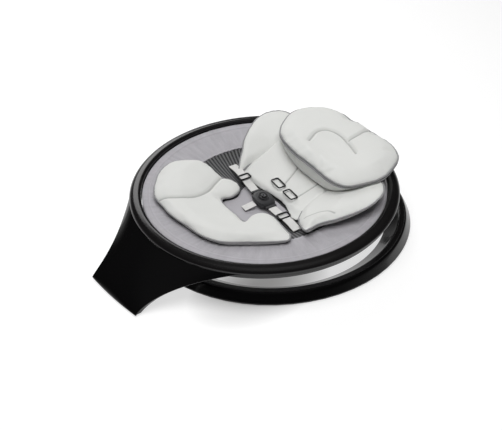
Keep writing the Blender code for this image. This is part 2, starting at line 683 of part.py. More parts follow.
def make_padding(skins, rig):
    """Padded inlays, wings, head pillow and crotch pad, lying on the seat cloth."""
    lower = [
        (-0.052, 0.085), (-0.058, 0.150), (-0.081, 0.189), (-0.112, 0.206), (-0.146, 0.206),
        (-0.179, 0.189), (-0.212, 0.155), (-0.236, 0.105), (-0.248, 0.045), (-0.248, -0.020),
        (-0.236, -0.080), (-0.206, -0.122), (-0.168, -0.156), (-0.126, -0.188), (-0.096, -0.200),
        (-0.080, -0.175), (-0.070, -0.110), (-0.095, -0.055), (-0.100, 0.0), (-0.090, 0.048),
    ]
    add("lower_inlay", pad(lower, PAD_LIFT, PAD, 48, centre=(-0.160, 0.0)), skins["inlay_fabric"], rig)
    back = [
        (-0.010, 0.095), (0.060, 0.098), (0.130, 0.104), (0.190, 0.112), (0.236, 0.075),
        (0.250, 0.0), (0.236, -0.075), (0.190, -0.112), (0.130, -0.104), (0.060, -0.098),
        (-0.010, -0.095), (-0.030, -0.050), (-0.034, 0.0), (-0.030, 0.050),
    ]
    add("back_inlay", pad(back, PAD_LIFT, BACK_PAD, 40, centre=(0.11, 0.0)), skins["inlay_fabric"], rig)
    for name, side in (("left", 1), ("right", -1)):
        wing = [
            (0.034, 0.110), (0.040, 0.158), (0.066, 0.196), (0.108, 0.219), (0.156, 0.216),
            (0.196, 0.188), (0.212, 0.150), (0.196, 0.124), (0.130, 0.114), (0.064, 0.109),
        ]
        shape = [(x, side * y) for x, y in wing]
        add(f"{name}_wing", pad(shape, PAD_LIFT, WING_PAD, 32, rise=lambda x, y: 0.03 * x),
            skins["inlay_fabric"], rig)
    crotch = [(-0.042, 0.040), (-0.042, 0.0), (-0.042, -0.040), (-0.062, -0.046), (-0.084, -0.040),
              (-0.088, 0.0), (-0.082, 0.036), (-0.062, 0.044)]
    add("crotch_pad", pad(crotch, PAD_LIFT, CROTCH_PAD, 24), skins["grey_fabric"], rig)
    pillow = [
        (0.108, 0.0), (0.112, 0.060), (0.130, 0.118), (0.165, 0.152), (0.208, 0.163),
        (0.248, 0.150), (0.280, 0.110), (0.298, 0.055), (0.303, 0.0), (0.298, -0.055),
        (0.280, -0.110), (0.248, -0.150), (0.208, -0.163), (0.165, -0.152), (0.130, -0.118),
        (0.112, -0.060),
    ]
    flat = lambda x, y: -bed(x, y) + 0.06 * (x - 0.2)
    add("head_pillow", pad(pillow, PILLOW_LIFT, PILLOW_PAD, 40, rise=flat),
        skins["inlay_fabric"], rig)


def make_harness(skins, rig):
    """Buckle, its button, webbing, adjusters, shoulder rings and crotch pad."""
    x0, y0 = HARNESS_PLACE
    level = float(bed(x0, y0)) + PAD_LIFT + BACK_PAD + 0.0020
    hub = holder("harness_rig", rig, (x0, y0, level), (0, 0, HARNESS_TURN))
    outline = [
        (BUCKLE_WIDTH / 2 * math.cos(a) * (1 + 0.10 * math.sin(2 * a) ** 2),
         BUCKLE_LENGTH / 2 * math.sin(a) * (1 + 0.10 * math.sin(2 * a) ** 2))
        for a in np.linspace(0, math.tau, 28, endpoint=False)
    ]
    stack = ((0.90, 0.0), (1.0, 0.0025), (1.0, 0.0075), (0.90, 0.0115), (0.70, BUCKLE_THICK))
    buckle = add("buckle_body", loft([[(x * s, y * s, z) for x, y in outline] for s, z in stack]),
                 skins["buckle_plastic"], hub)
    well = add("buckle_well", drum(BUTTON_RADIUS + GAP, 0.016, 24), skins["buckle_plastic"], hub,
               (0, 0, BUCKLE_THICK + 0.0015))
    boolean(buckle, well)
    add("buckle_button", drum(BUTTON_RADIUS, 0.0070, 24), skins["satin_black"], hub,
        (0, 0, BUCKLE_THICK - 0.0005))
    crotch = [(-0.062, 0, -0.0004), (-0.050, 0, 0.0004), (-0.036, 0, 0.0020), (-0.0245, 0, 0.0035)]
    add("crotch_strap", web(crotch, WEB_WIDTH, WEB), skins["webbing"], hub)
    for name, side in (("left", 1), ("right", -1)):
        def at(distance, height):
            return (0.0, side * distance, height)
        start = BUCKLE_LENGTH / 2 + 0.0008
        tongue = add(f"{name}_tongue", block((0.026, TONGUE_LENGTH, 0.005), 0.001), skins["buckle_plastic"],
                     hub, at(start + TONGUE_LENGTH / 2, 0.0062))
        near, far = start + TONGUE_LENGTH + 0.0008, 0.150
        rise = [at(near, 0.0062), at(0.066, 0.0085), at(0.0905, 0.0128), at(0.115, 0.0165),
                at(far, 0.0140)]
        add(f"{name}_waist_strap", web(rise, WEB_WIDTH, WEB, (1, 0, 0), 20), skins["webbing"], hub)
        slope = math.atan2(0.0165 - 0.0085, 0.115 - 0.066)
        rail = add(f"{name}_adjuster", block((0.031, 0.021, 0.0060), 0.0012),
                   skins["buckle_plastic"], hub, at(0.0905, 0.0128), (side * slope, 0, 0))
        slit = add(f"{name}_adjuster_slit", block((WEB_WIDTH + 0.003, 0.03, 0.0036)),
                   skins["buckle_plastic"], hub, at(0.0905, 0.0128), (side * slope, 0, 0))
        boolean(rail, slit)
        window = add(f"{name}_adjuster_window", block((WEB_WIDTH + 0.0015, 0.0120, 0.0050)),
                     skins["buckle_plastic"], hub, at(0.0905, 0.0163), (side * slope, 0, 0))
        boolean(rail, window)
        ring = add(f"{name}_shoulder_ring", block((0.017, 0.030, 0.0030), 0.0008),
                   skins["buckle_plastic"], hub, (0.056, side * 0.027, 0.0115), (0, -0.28, side * -0.10))
        hole = add(f"{name}_shoulder_hole", block((0.010, 0.023, 0.01)), skins["buckle_plastic"],
                   hub, (0.056, side * 0.027, 0.0115), (0, -0.28, side * -0.10))
        boolean(ring, hole)
    return hub


def main():
    clear_scene()
    skins = finishes()
    base_rig, _ = make_base(skins)
    make_arm(skins, base_rig)
    fold = holder("fold_rig", location=PIN_PLACE)
    start = KNUCKLE_HALF + KNUCKLE_GAP
    spans = [(start, start + KNUCKLE_LENGTH), (-start - KNUCKLE_LENGTH, -start)]
    make_leg(skins, fold, spans)
    ring_rig = make_ring(skins, fold)
    seat = make_seat(skins, ring_rig)
    make_padding(skins, seat)
    make_harness(skins, seat)


main()
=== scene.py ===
"""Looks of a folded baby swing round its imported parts: gloss-black stand, cloth seat, inlays, harness."""

import math

import bpy
import numpy as np
from bpy.props import FloatProperty, FloatVectorProperty, PointerProperty
from mathutils import Matrix, Vector
from mathutils.bvhtree import BVHTree


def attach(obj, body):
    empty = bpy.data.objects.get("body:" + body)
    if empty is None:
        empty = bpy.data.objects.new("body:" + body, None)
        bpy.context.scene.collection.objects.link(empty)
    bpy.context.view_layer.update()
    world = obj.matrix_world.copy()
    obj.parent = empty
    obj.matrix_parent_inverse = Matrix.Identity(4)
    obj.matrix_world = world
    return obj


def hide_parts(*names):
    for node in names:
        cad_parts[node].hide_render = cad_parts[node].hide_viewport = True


bl_info = {
    "name": "Baby swing looks",
    "version": (1, 0, 0),
    "blender": (4, 5, 0),
    "location": "3D View > Sidebar > Baby swing",
    "description": "Builds the visible pieces of a baby swing on its packed frame",
    "category": "Object",
}

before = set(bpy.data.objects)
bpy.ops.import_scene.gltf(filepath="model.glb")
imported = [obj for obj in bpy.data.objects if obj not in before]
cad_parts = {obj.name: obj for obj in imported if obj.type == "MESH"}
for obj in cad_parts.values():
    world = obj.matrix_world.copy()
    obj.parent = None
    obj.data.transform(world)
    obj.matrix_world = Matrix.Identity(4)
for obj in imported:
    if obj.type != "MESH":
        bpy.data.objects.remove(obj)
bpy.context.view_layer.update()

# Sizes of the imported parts, in metres, with heights on the seat counted from the ring's top.
BASE_MIDDLE = 0.065
BASE_HALF = (0.330, 0.316)
BASE_LOW, BASE_HIGH, BASE_TRIM_TOP = 0.0065, 0.0282, 0.030
BASE_WIDE = 0.060
RING_CENTRE = np.array([0.033, 0.0, 0.112])
RING_TILT = math.radians(2.2)
RING_OUT, RING_IN = 0.312, 0.2845
RIM_TOP = -0.006
BAND_IN, BAND_OUT = 0.193, 0.2721
BAND_DROP, BOWL_DROP = 0.018, 0.060
LEG_REACH, LEG_BOW, LEG_HALF, LEG_LOW = 0.456, 0.004, 0.085, 0.004
LEG_ANGLE, LEG_NARROWING, LEG_CROWN, LEG_WALL = math.radians(41), 2.2, 1.35, 0.0025
LEG_COLUMNS = 97
ROUND_STEPS, RIBS = 900, 132
PAD_LIFT = 0.0045
HUB_PLACE, HUB_TURN = (-0.006, -0.004), math.radians(-10)
HUB_LEVEL = -0.04144

RING_X = np.array([math.cos(RING_TILT), 0.0, math.sin(RING_TILT)])
RING_Y = np.array([0.0, 1.0, 0.0])
RING_UP = np.array([-math.sin(RING_TILT), 0.0, math.cos(RING_TILT)])


# ------------------------------------------------------------------ sizes and colours a user may change


class StandLooks(bpy.types.PropertyGroup):
    gloss: FloatProperty(name="Gloss roughness", description="Roughness of the lacquered stand",
                         default=0.13, min=0.02, max=1.0, subtype="FACTOR")
    black: FloatVectorProperty(name="Lacquer", description="Colour of the lacquered stand",
                               default=(0.0022, 0.0021, 0.0023), subtype="COLOR", size=3)
    satin: FloatVectorProperty(name="Satin top", description="Colour of the seat ring's top face",
                               default=(0.0065, 0.0060, 0.0062), subtype="COLOR", size=3)
    satin_roughness: FloatProperty(name="Satin roughness", description="Roughness of the ring's top face",
                                   default=0.20, min=0.02, max=1.0, subtype="FACTOR")


class ClothLooks(bpy.types.PropertyGroup):
    band: FloatVectorProperty(name="Band", description="Colour of the band round the seat",
                              default=(0.400, 0.388, 0.412), subtype="COLOR", size=3)
    mesh: FloatVectorProperty(name="Mesh", description="Colour of the seat's spacer mesh",
                              default=(0.060, 0.060, 0.062), subtype="COLOR", size=3)
    inlay: FloatVectorProperty(name="Inlay", description="Colour of the padded inlays",
                               default=(0.700, 0.705, 0.685), subtype="COLOR", size=3)
    piping: FloatVectorProperty(name="Piping", description="Colour of the piping round the inlays",
                                default=(0.290, 0.290, 0.295), subtype="COLOR", size=3)
    gather: FloatProperty(name="Gathers", description="Height of the band's gathers",
                          default=0.0017, min=0.0, max=0.003, unit="LENGTH")
    pipe: FloatProperty(name="Piping radius", description="Radius of the piping",
                        default=0.0020, min=0.0005, max=0.004, unit="LENGTH")


class HarnessLooks(bpy.types.PropertyGroup):
    webbing: FloatVectorProperty(name="Webbing", description="Colour of the harness webbing",
                                 default=(0.70, 0.695, 0.68), subtype="COLOR", size=3)
    plastic: FloatVectorProperty(name="Buckle", description="Colour of the buckle and its fittings",
                                 default=(0.030, 0.030, 0.032), subtype="COLOR", size=3)
    width: FloatProperty(name="Webbing width", description="Width of the harness webbing",
                         default=0.0205, min=0.01, max=0.03, unit="LENGTH")


# ------------------------------------------------------------------ shader nodes as Python expressions


class Value:
    """A socket on which Python's operators add Math nodes."""

    def __init__(self, tree, socket):
        self.tree, self.socket = tree, socket

    def maths(self, operation, *others, clamp=False):
        node = self.tree.nodes.new("ShaderNodeMath")
        node.operation, node.use_clamp = operation, clamp
        for i, other in enumerate(others):
            if isinstance(other, Value):
                self.tree.links.new(other.socket, node.inputs[i])
            else:
                node.inputs[i].default_value = other
        return Value(self.tree, node.outputs[0])

    def __add__(self, other):
        return self.maths("ADD", self, other)

    __radd__ = __add__

    def __sub__(self, other):
        return self.maths("SUBTRACT", self, other)

    def __mul__(self, other):
        return self.maths("MULTIPLY", self, other)

    __rmul__ = __mul__

    def __pow__(self, other):
        return self.maths("POWER", self, other)

    def clamped(self):
        return self.maths("ADD", self, 0.0, clamp=True)

    def sine(self):
        return self.maths("SINE", self)

    def size(self):
        return self.maths("ABSOLUTE", self)


class Finish:
    """A material with one Principled shader, and the nodes that feed it."""

    def __init__(self, name, colour, roughness, metallic=0.0, **fixed):
        self.material = bpy.data.materials.new(name)
        self.material.use_nodes = True
        self.tree = self.material.node_tree
        self.shader = self.tree.nodes["Principled BSDF"]
        self.put("Base Color", (*colour, 1.0))
        self.put("Roughness", roughness)
        self.put("Metallic", metallic)
        for socket, value in fixed.items():
            self.put(socket.replace("_", " "), value)

    def put(self, socket, value):
        target = self.shader.inputs[socket]
        if isinstance(value, Value):
            self.tree.links.new(value.socket, target)
        else:
            target.default_value = value

    def node(self, kind, settings=None, output=0, **sockets):
        """Adds a node: its settings first, then values or links on its sockets, by name or as i0, i1."""
        node = self.tree.nodes.new(kind)
        for key, value in (settings or {}).items():
            setattr(node, key, value)
        for key, value in sockets.items():
            target = node.inputs[int(key[1:])] if key[0] == "i" and key[1:].isdigit() else node.inputs[key]
            if isinstance(value, Value):
                self.tree.links.new(value.socket, target)
            else:
                target.default_value = value
        return Value(self.tree, node.outputs[output])

    def place(self, scale=(1, 1, 1), centre=(0, 0, 0), turn=(0, 0, 0), uv=False):
        """Object coordinates, or the piece's own UV map, moved and scaled."""
        start = (self.node("ShaderNodeUVMap", {"uv_map": "cloth"}) if uv
                 else self.node("ShaderNodeTexCoord", output=3))
        return self.node("ShaderNodeMapping", Vector=start, Scale=scale, Location=centre, Rotation=turn)

    def parts(self, vector):
        node = self.tree.nodes.new("ShaderNodeSeparateXYZ")
        self.tree.links.new(vector.socket, node.inputs[0])
        return [Value(self.tree, out) for out in node.outputs]

    def noise(self, vector, scale, detail=3.0, roughness=0.55):
        return self.node("ShaderNodeTexNoise", Vector=vector, Scale=scale, Detail=detail,
                         Roughness=roughness)

    def mix(self, share, one, two):
        """Colour between two, which are tuples or sockets."""
        colours = [c if isinstance(c, Value) else (*c, 1.0) for c in (one, two)]
        node = self.tree.nodes.new("ShaderNodeMix")
        node.data_type = "RGBA"
        for socket, value in zip([node.inputs[i] for i in (0, 6, 7)], (share, *colours)):
            if isinstance(value, Value):
                self.tree.links.new(value.socket, socket)
            else:
                socket.default_value = value
        return Value(self.tree, node.outputs[2])

    def bump(self, height, strength, distance):
        self.put("Normal", self.node("ShaderNodeBump", Strength=strength, Distance=distance, Height=height))

    def polar(self):
        """Distance from the seat's centre and angle round it, from Object coordinates."""
        x, y, _ = self.parts(self.place(centre=tuple(-RING_CENTRE)))
        return (x * x + y * y) ** 0.5, x.maths("ARCTAN2", y, x)


def shade(colour, factor):
    return tuple(c * factor for c in colour)


def lacquer(name, looks):
    """Deep gloss black with a faint haze of fine dust and hand marks."""
    skin = Finish(name, looks.black, looks.gloss, Specular_IOR_Level=0.42, Coat_Weight=0.15,
                  Coat_Roughness=0.03)
    haze = skin.noise(skin.place(), 9.0, 4.0)
    skin.put("Roughness", haze * 0.07 + (looks.gloss - 0.035))
    skin.bump(skin.noise(skin.place(), 55.0, 1.0), 0.012, 0.002)
    return skin.material


def satin(name, colour, roughness, grain=900.0):
    """Moulded plastic with a fine spark-eroded grain."""
    skin = Finish(name, colour, roughness, Specular_IOR_Level=0.5)
    grains = skin.noise(skin.place(), grain, 2.0)
    cloud = skin.noise(skin.place(), 14.0, 3.0)
    skin.put("Base Color", skin.mix(cloud, shade(colour, 0.82), shade(colour, 1.2)))
    skin.put("Roughness", cloud * 0.10 + (roughness - 0.05))
    skin.bump(grains, 0.06, 0.0004)
    return skin.material


def rubber(name):
    skin = Finish(name, (0.020, 0.020, 0.021), 0.75)
    grains = skin.noise(skin.place(), 700.0, 3.0)
    skin.put("Base Color", skin.mix(grains, (0.014, 0.014, 0.015), (0.030, 0.030, 0.031)))
    skin.bump(grains, 0.15, 0.0005)
    return skin.material


def bare_metal(name, colour, roughness):
    """Machined metal with fine lines round its length."""
    skin = Finish(name, colour, roughness, 1.0)
    lines = skin.noise(skin.place(scale=(1, 14, 1)), 160.0, 2.0)
    skin.put("Base Color", skin.mix(lines, shade(colour, 0.8), shade(colour, 1.1)))
    skin.put("Roughness", lines * 0.16 + (roughness - 0.08))
    return skin.material


def circuit_board(name):
    skin = Finish(name, (0.02, 0.12, 0.05), 0.45)
    tracks = skin.node("ShaderNodeTexBrick", Vector=skin.place(), Scale=120.0, Color1=(0.015, 0.10, 0.04, 1),
                       Color2=(0.02, 0.13, 0.05, 1), Mortar=(0.25, 0.20, 0.08, 1))
    skin.put("Base Color", tracks)
    return skin.material


def weave(skin, vector, scale):
    """Threads over and under: two sets of lines across each other."""
    x, y, _ = skin.parts(vector)
    return (x * scale).sine() * (y * scale).sine() * 0.5 + 0.5


def band_cloth(name, colour):
    """Lavender grey heather cloth: mottled thread colours, faint radial shade and a fine weave."""
    skin = Finish(name, colour, 0.92, Sheen_Weight=0.25, Sheen_Roughness=0.5)
    far, angle = skin.polar()
    along = angle * 0.24
    heather = skin.noise(skin.place(), 420.0, 4.0, 0.7)
    cloud = skin.noise(skin.place(), 26.0, 4.0)
    streak = skin.noise(skin.node("ShaderNodeCombineXYZ", X=along, Y=far * 0.22), 95.0, 3.0, 0.6)
    tone = (heather * 0.45 + cloud * 0.30 + streak * 0.50 - 0.12).clamped()
    mottled = skin.mix(tone, shade(colour, 0.70), shade(colour, 1.28))
    hem = ((far - 0.2655).size() * -900.0 + 1.0).clamped()
    hem = hem + ((far - 0.1945).size() * -420.0 + 1.0).clamped()
    skin.put("Base Color", skin.mix(hem * 0.35, mottled, shade(colour, 1.45)))
    fine = weave(skin, skin.node("ShaderNodeCombineXYZ", X=along, Y=far), 3600.0)
    skin.bump(heather * 0.4 + fine * 0.6 + streak * 0.5, 0.35, 0.0006)
    return skin.material


def spacer_mesh(name, colour):
    """Dark knitted mesh with raised ribs that fan out from the middle, and rows of eyelets between them."""
    skin = Finish(name, colour, 0.85, Sheen_Weight=0.12)
    far, angle = skin.polar()
    wave = (angle * float(RIBS) + (far * 34.0).sine() * 1.4).sine() * 0.5 + 0.5
    ridge = wave ** 1.6
    rows = (far * 1500.0).sine() * 0.5 + 0.5
    fuzz = skin.noise(skin.place(), 600.0, 2.0)
    # Painted highlight and shade: the rib crests are painted lighter and the hollows between them darker; the rows of
    # eyelets and the fuzz are the knit's own pattern and tone.
    light = (ridge * 0.75 + rows * 0.12 + fuzz * 0.25 - 0.08).clamped()
    skin.put("Base Color", skin.mix(light, shade(colour, 0.22), shade(colour, 3.3)))
    skin.bump(ridge + rows * 0.35, 0.8, 0.0016)
    return skin.material


def inlay_cloth(name, colour):
    """Off-white soft jersey: faint knit, slight clouding and a fine nap."""
    skin = Finish(name, colour, 0.95, Sheen_Weight=0.18, Sheen_Roughness=0.6)
    cloud = skin.noise(skin.place(), 18.0, 4.0)
    nap = skin.noise(skin.place(), 900.0, 3.0, 0.7)
    knit = skin.node("ShaderNodeTexWave", {"bands_direction": "X"}, output=1, Vector=skin.place(),
                     Scale=210.0, Distortion=2.0, Detail=2.0)
    tone = (cloud * 0.6 + nap * 0.4).clamped()
    # Painted shade: the cloth is darkened to 0.3 of its colour along the sewn channels, where shade falls in the
    # grooves.
    seam_shade = skin.node("ShaderNodeAttribute", {"attribute_name": "seam_shade"}, output=2)
    skin.put("Base Color", skin.mix(seam_shade * 0.75, skin.mix(tone, shade(colour, 0.955), shade(colour, 1.035)),
                                    shade(colour, 0.30)))
    skin.bump(knit * 0.35 + nap * 0.5 + cloud * 0.4, 0.16, 0.0008)
    return skin.material


def grey_cloth(name, colour, light=1.22):
    """Grey cloth with a visible twill, for piping and the crotch pad."""
    skin = Finish(name, colour, 0.9, Sheen_Weight=0.15)
    nap = skin.noise(skin.place(), 800.0, 3.0, 0.7)
    twill = skin.node("ShaderNodeTexWave", {"bands_direction": "DIAGONAL"}, output=1, Vector=skin.place(),
                      Scale=170.0, Distortion=1.0)
    skin.put("Base Color", skin.mix(nap * 0.6 + twill * 0.3, shade(colour, 0.8), shade(colour, light)))
    skin.bump(twill * 0.5 + nap * 0.5, 0.3, 0.0005)
    return skin.material


def woven_webbing(name, colour):
    """Herringbone webbing on the piece's own UV map, u along and v across, in metres."""
    skin = Finish(name, colour, 0.78, Sheen_Weight=0.15)
    u, v, _ = skin.parts(skin.place(uv=True))
    rib = (u * 3600.0 + (v * 600.0).sine() * 2.2).sine() * 0.5 + 0.5
    selvedge = ((v.size() - 0.0088) * 900.0).clamped()
    nap = skin.noise(skin.place(), 900.0, 2.0)
    tone = (rib * 0.5 + nap * 0.4 - selvedge * 0.4).clamped()
    skin.put("Base Color", skin.mix(tone, shade(colour, 0.80), shade(colour, 1.06)))
    skin.bump(rib + selvedge * 0.5, 0.4, 0.0005)
    return skin.material


# ------------------------------------------------------------------ surfaces


def on_ring(x, y, h):
    """Points of the seat ring's own frame, height counted from its top, in the row frame."""
    x, y, h = np.broadcast_arrays(np.asarray(x, float), y, h)
    return RING_CENTRE + x[..., None] * RING_X + y[..., None] * RING_Y + h[..., None] * RING_UP


def bed(x, y):
    """Height of the seat cloth: a cone under the band, and a paraboloid under the mesh."""
    r = np.hypot(x, y)
    band = -BAND_DROP + (r - BAND_IN) * (BAND_DROP + RIM_TOP) / (BAND_OUT - BAND_IN)
    bowl = -BOWL_DROP + (BOWL_DROP - BAND_DROP) * (r / BAND_IN) ** 2
    return np.where(r > BAND_IN, band, bowl)


def quads(rows, cols, round_rows=False, round_cols=False):
    """Corner numbers of a grid's faces, joined end to end where it goes round."""
    i, j = np.meshgrid(np.arange(rows if round_rows else rows - 1),
                       np.arange(cols if round_cols else cols - 1), indexing="ij")
    up, right = (i + 1) % rows, (j + 1) % cols
    return np.stack([i * cols + j, i * cols + right, up * cols + right, up * cols + j], -1).reshape(-1, 4)


class Surface:
    """Collects grids of points and makes them one piece, each closed grid turned to face outwards."""

    def __init__(self):
        self.points, self.faces, self.cloth, self.count = [], [], [], 0

    def grid(self, points, round_rows=False, round_cols=False, caps=False, cloth=None, solid=True,
             strips=0):
        """Adds one grid. caps closes its ends with fans, and strips with quads between the two halves."""
        rows, cols = points.shape[:2]
        faces = quads(rows, cols, round_rows, round_cols).tolist()
        if strips:
            rim, back = (cols - 2 * strips) // 2, 2 * strips + (cols - 2 * strips) // 2 - 1
            ends = [[j, j + 1, back - j - 1, back - j] for j in range(strips - 1)]
            ends += [list(range(strips - 1, strips + rim + 1)), [*range(back, cols), 0]]
            base = (rows - 1) * cols
            faces += [f[::-1] for f in ends] + [[base + k for k in f] for f in ends]
        flat = points.reshape(-1, 3)
        marks = np.zeros((len(flat), 2)) if cloth is None else cloth.reshape(-1, 2)
        if caps:
            tips = np.array([points[0].mean(0), points[-1].mean(0)])
            flat = np.vstack([flat, tips])
            marks = np.vstack([marks, marks[:1], marks[-1:]])
            first, last = rows * cols, rows * cols + 1
            step = range(cols)
            faces += [[(j + 1) % cols, j, first] for j in step]
            base = (rows - 1) * cols
            faces += [[base + j, base + (j + 1) % cols, last] for j in step]
        tri = np.array([[f[0], f[k], f[k + 1]] for f in faces for k in range(1, len(f) - 1)])
        a, b, c = flat[tri[:, 0]], flat[tri[:, 1]], flat[tri[:, 2]]
        turn = (a * np.cross(b, c)).sum() if solid else np.cross(b - a, c - a)[:, 2].sum()
        if turn < 0:
            faces = [f[::-1] for f in faces]
        self.faces += [[k + self.count for k in f] for f in faces]
        self.points.append(flat)
        self.cloth.append(marks)
        self.count += len(flat)
        return self

    def piece(self, name, skin, body, replaced=(), slot=None, crease=None):
        mesh = bpy.data.meshes.new(name)
        mesh.from_pydata(np.vstack(self.points).tolist(), [], self.faces)
        layer = mesh.uv_layers.new(name="cloth")
        corners = np.empty(len(mesh.loops), np.int32)
        mesh.loops.foreach_get("vertex_index", corners)
        layer.data.foreach_set("uv", np.vstack(self.cloth)[corners].astype(np.float32).ravel())
        return placed(name, mesh, skin, body, replaced, crease)


def placed(name, mesh, skin, body, replaced=(), crease=None):
    """A finished mesh as a piece that rides on a body and stands for CAD nodes."""
    mesh.shade_smooth()
    if crease:
        mesh.set_sharp_from_angle(angle=math.radians(crease))
    mesh.materials.clear()
    mesh.materials.append(skin)
    obj = bpy.data.objects.new(name, mesh)
    bpy.context.scene.collection.objects.link(obj)
    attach(obj, body)
    if replaced:
        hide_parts(*replaced)
    return obj


def rounded(profile, radius, steps=5):
    """A closed profile whose corners become quadratic curves, with a support point beside each."""
    p = np.array(profile, float)
    r = np.broadcast_to(np.asarray(radius, float), len(p))
    before, after = np.roll(p, 1, 0) - p, np.roll(p, -1, 0) - p
    lb, la = np.linalg.norm(before, axis=1), np.linalg.norm(after, axis=1)
    cb, ca = np.minimum(r, lb * 0.38), np.minimum(r, la * 0.38)
    a, b = p + before * (cb / lb)[:, None], p + after * (ca / la)[:, None]
    t = np.linspace(0, 1, steps)[None, :, None]
    arc = (1 - t) ** 2 * a[:, None] + 2 * t * (1 - t) * p[:, None] + t ** 2 * b[:, None]
    near = (p + before * (cb * 1.25 / lb)[:, None])[:, None]
    past = (p + after * (ca * 1.25 / la)[:, None])[:, None]
    return np.concatenate([near, arc, past], 1).reshape(-1, 2)


def round_about(profile, steps=256):
    """A profile of (radius, height) carried once round the seat ring's axis."""
    a = np.linspace(0, math.tau, steps, endpoint=False)[:, None]
    r, h = np.array(profile, float).T
    return on_ring(np.cos(a) * r, np.sin(a) * r, np.broadcast_to(h, (steps, len(h))))


def round_floor(profile, steps=256):
    """A profile of (inset, height) carried once round the floor ring's oval."""
    a = np.linspace(0, math.tau, steps, endpoint=False)[:, None]
    inset, z = np.array(profile, float).T
    x = BASE_MIDDLE + (BASE_HALF[0] - inset) * np.cos(a)
    return np.stack([x, (BASE_HALF[1] - inset) * np.sin(a), np.broadcast_to(z, x.shape)], -1)


def between(a, b, c, d, f):
    """The Catmull-Rom curve from b to c, at the shares f of the way."""
    square, cube = 2 * a - 5 * b + 4 * c - d, 3 * b - a - 3 * c + d
    return 0.5 * (2 * b + (c - a) * f + square * f ** 2 + cube * f ** 3)


def smooth_loop(points, count):
    """A closed Catmull-Rom curve through the points, read at even lengths."""
    p = np.array(points, float)
    t = np.linspace(0, len(p), len(p) * 24, endpoint=False)
    i = t.astype(int)
    f = (t - i)[:, None]
    dense = between(*(p[(i + k) % len(p)] for k in (-1, 0, 1, 2)), f)
    return evenly(np.vstack([dense, dense[:1]]), count + 1)[:-1]


def smooth_line(points, count):
    """An open Catmull-Rom curve through the points, read at even lengths."""
    p = np.array(points, float)
    p = np.vstack([2 * p[0] - p[1], p, 2 * p[-1] - p[-2]])
    t = np.linspace(0, len(p) - 3 - 1e-9, len(p) * 24)
    i = t.astype(int) + 1
    f = (t + 1 - i)[:, None]
    return evenly(between(p[i - 1], p[i], p[i + 1], p[i + 2], f), count)


def evenly(line, count):
    """The same line read at equal steps of its length."""
    far = np.concatenate([[0.0], np.linalg.norm(np.diff(line, axis=0), axis=1).cumsum()])
    at = np.linspace(0, far[-1], count)
    return np.stack([np.interp(at, far, line[:, k]) for k in range(line.shape[1])], -1)


def to_line(points, line):
    """(distance, nearest point) of each point to an open line, in the plane."""
    a, b = line[:-1], line[1:]
    d = b - a
    t = ((points[:, None] - a) * d).sum(-1) / np.maximum((d * d).sum(-1), 1e-12)
    near = a + np.clip(t, 0, 1)[..., None] * d
    gap = np.linalg.norm(points[:, None] - near, axis=-1)
    best = gap.argmin(1)
    rows = np.arange(len(points))
    return gap[rows, best], near[rows, best]


def tube(line, radius, closed=True):
    """A round tube of the given radius carried along a line of points."""
    ahead = np.roll(line, -1, 0) - np.roll(line, 1, 0) if closed else np.gradient(line, axis=0)
    ahead /= np.linalg.norm(ahead, axis=1)[:, None]
    side = np.cross(ahead, RING_UP)
    side /= np.maximum(np.linalg.norm(side, axis=1)[:, None], 1e-9)
    up = np.cross(side, ahead)
    a = np.linspace(0, math.tau, 10, endpoint=False)[None, :, None]
    return line[:, None] + radius * (np.cos(a) * side[:, None] + np.sin(a) * up[:, None])


# ------------------------------------------------------------------ padded pieces


def inside(points, loop):
    """Whether each point lies within the closed loop, by counting the sides that a ray crosses."""
    x, y = points[:, :1], points[:, 1:]
    (x0, y0), (x1, y1) = loop.T, np.roll(loop, -1, 0).T
    spans = (y0 > y) != (y1 > y)
    cross = x0 + (y - y0) * (x1 - x0) / np.where(np.abs(y1 - y0) < 1e-12, 1e-12, y1 - y0)
    return (spans & (x < cross)).sum(1) % 2 == 1


def padded_shell(outline, low, thick, seam, round_over, dome, under, spacing=0.0042):
    """A closed cushion over an outline: an even grid, whose outer points are drawn on to the outline.

    With d the distance in from the seam, the top rises by thick times a quarter ellipse of d over the
    round-over and then a gentle dome, and the underside falls in the same way. low is the underside's height,
    and under is a height that a piece which fills a hollow comes down to in its middle."""
    loop = smooth_loop(outline, 400)
    start, end = loop.min(0) - spacing * 1.5, loop.max(0) + spacing * 1.5
    xs, ys = (np.arange(a, b, spacing) for a, b in zip(start, end))
    flat = np.stack(np.meshgrid(xs, ys, indexing="ij"), -1).reshape(-1, 2)
    within = inside(flat, loop)
    gap, near = to_line(flat, np.vstack([loop, loop[:1]]))
    faces = quads(len(xs), len(ys))
    faces = faces[within[faces].any(1)]
    flat = np.where(within[:, None], flat, near)
    d = np.where(within, gap, 0.0)
    edge = np.clip(d / round_over, 0, 1)
    swell = (1 - (1 - edge) ** 2) ** 0.5
    hump = dome * np.clip(d / 0.06, 0, 1) * (2 - np.clip(d / 0.06, 0, 1))
    x, y = flat.T
    base = low(x, y)
    top = base + thick * (seam + (1 - seam) * swell * (1 - dome + hump))
    bottom = base + thick * seam * (1 - swell)
    if under:
        bottom = bottom + (under(x, y) - bottom) * swell
    count = len(flat)
    under = np.where(within, np.arange(count) + count, np.arange(count))
    used = np.unique(np.concatenate([faces.ravel(), under[faces].ravel()]))
    place = np.full(2 * count, -1)
    place[used] = np.arange(len(used))
    points = np.vstack([on_ring(x, y, top), on_ring(x, y, bottom)])[used]
    solid = np.vstack([place[faces][:, ::-1], place[under[faces]]])
    return points, solid, loop


def evaluated(obj):
    """Replaces the object's mesh with what its modifiers make of it."""
    graph = bpy.context.evaluated_depsgraph_get()
    mesh = bpy.data.meshes.new_from_object(obj.evaluated_get(graph))
    obj.modifiers.clear()
    old, obj.data = obj.data, mesh
    bpy.data.meshes.remove(old)


def vertices(obj):
    co = np.empty(len(obj.data.vertices) * 3, np.float32)
    obj.data.vertices.foreach_get("co", co)
    return co.reshape(-1, 3).astype(float)


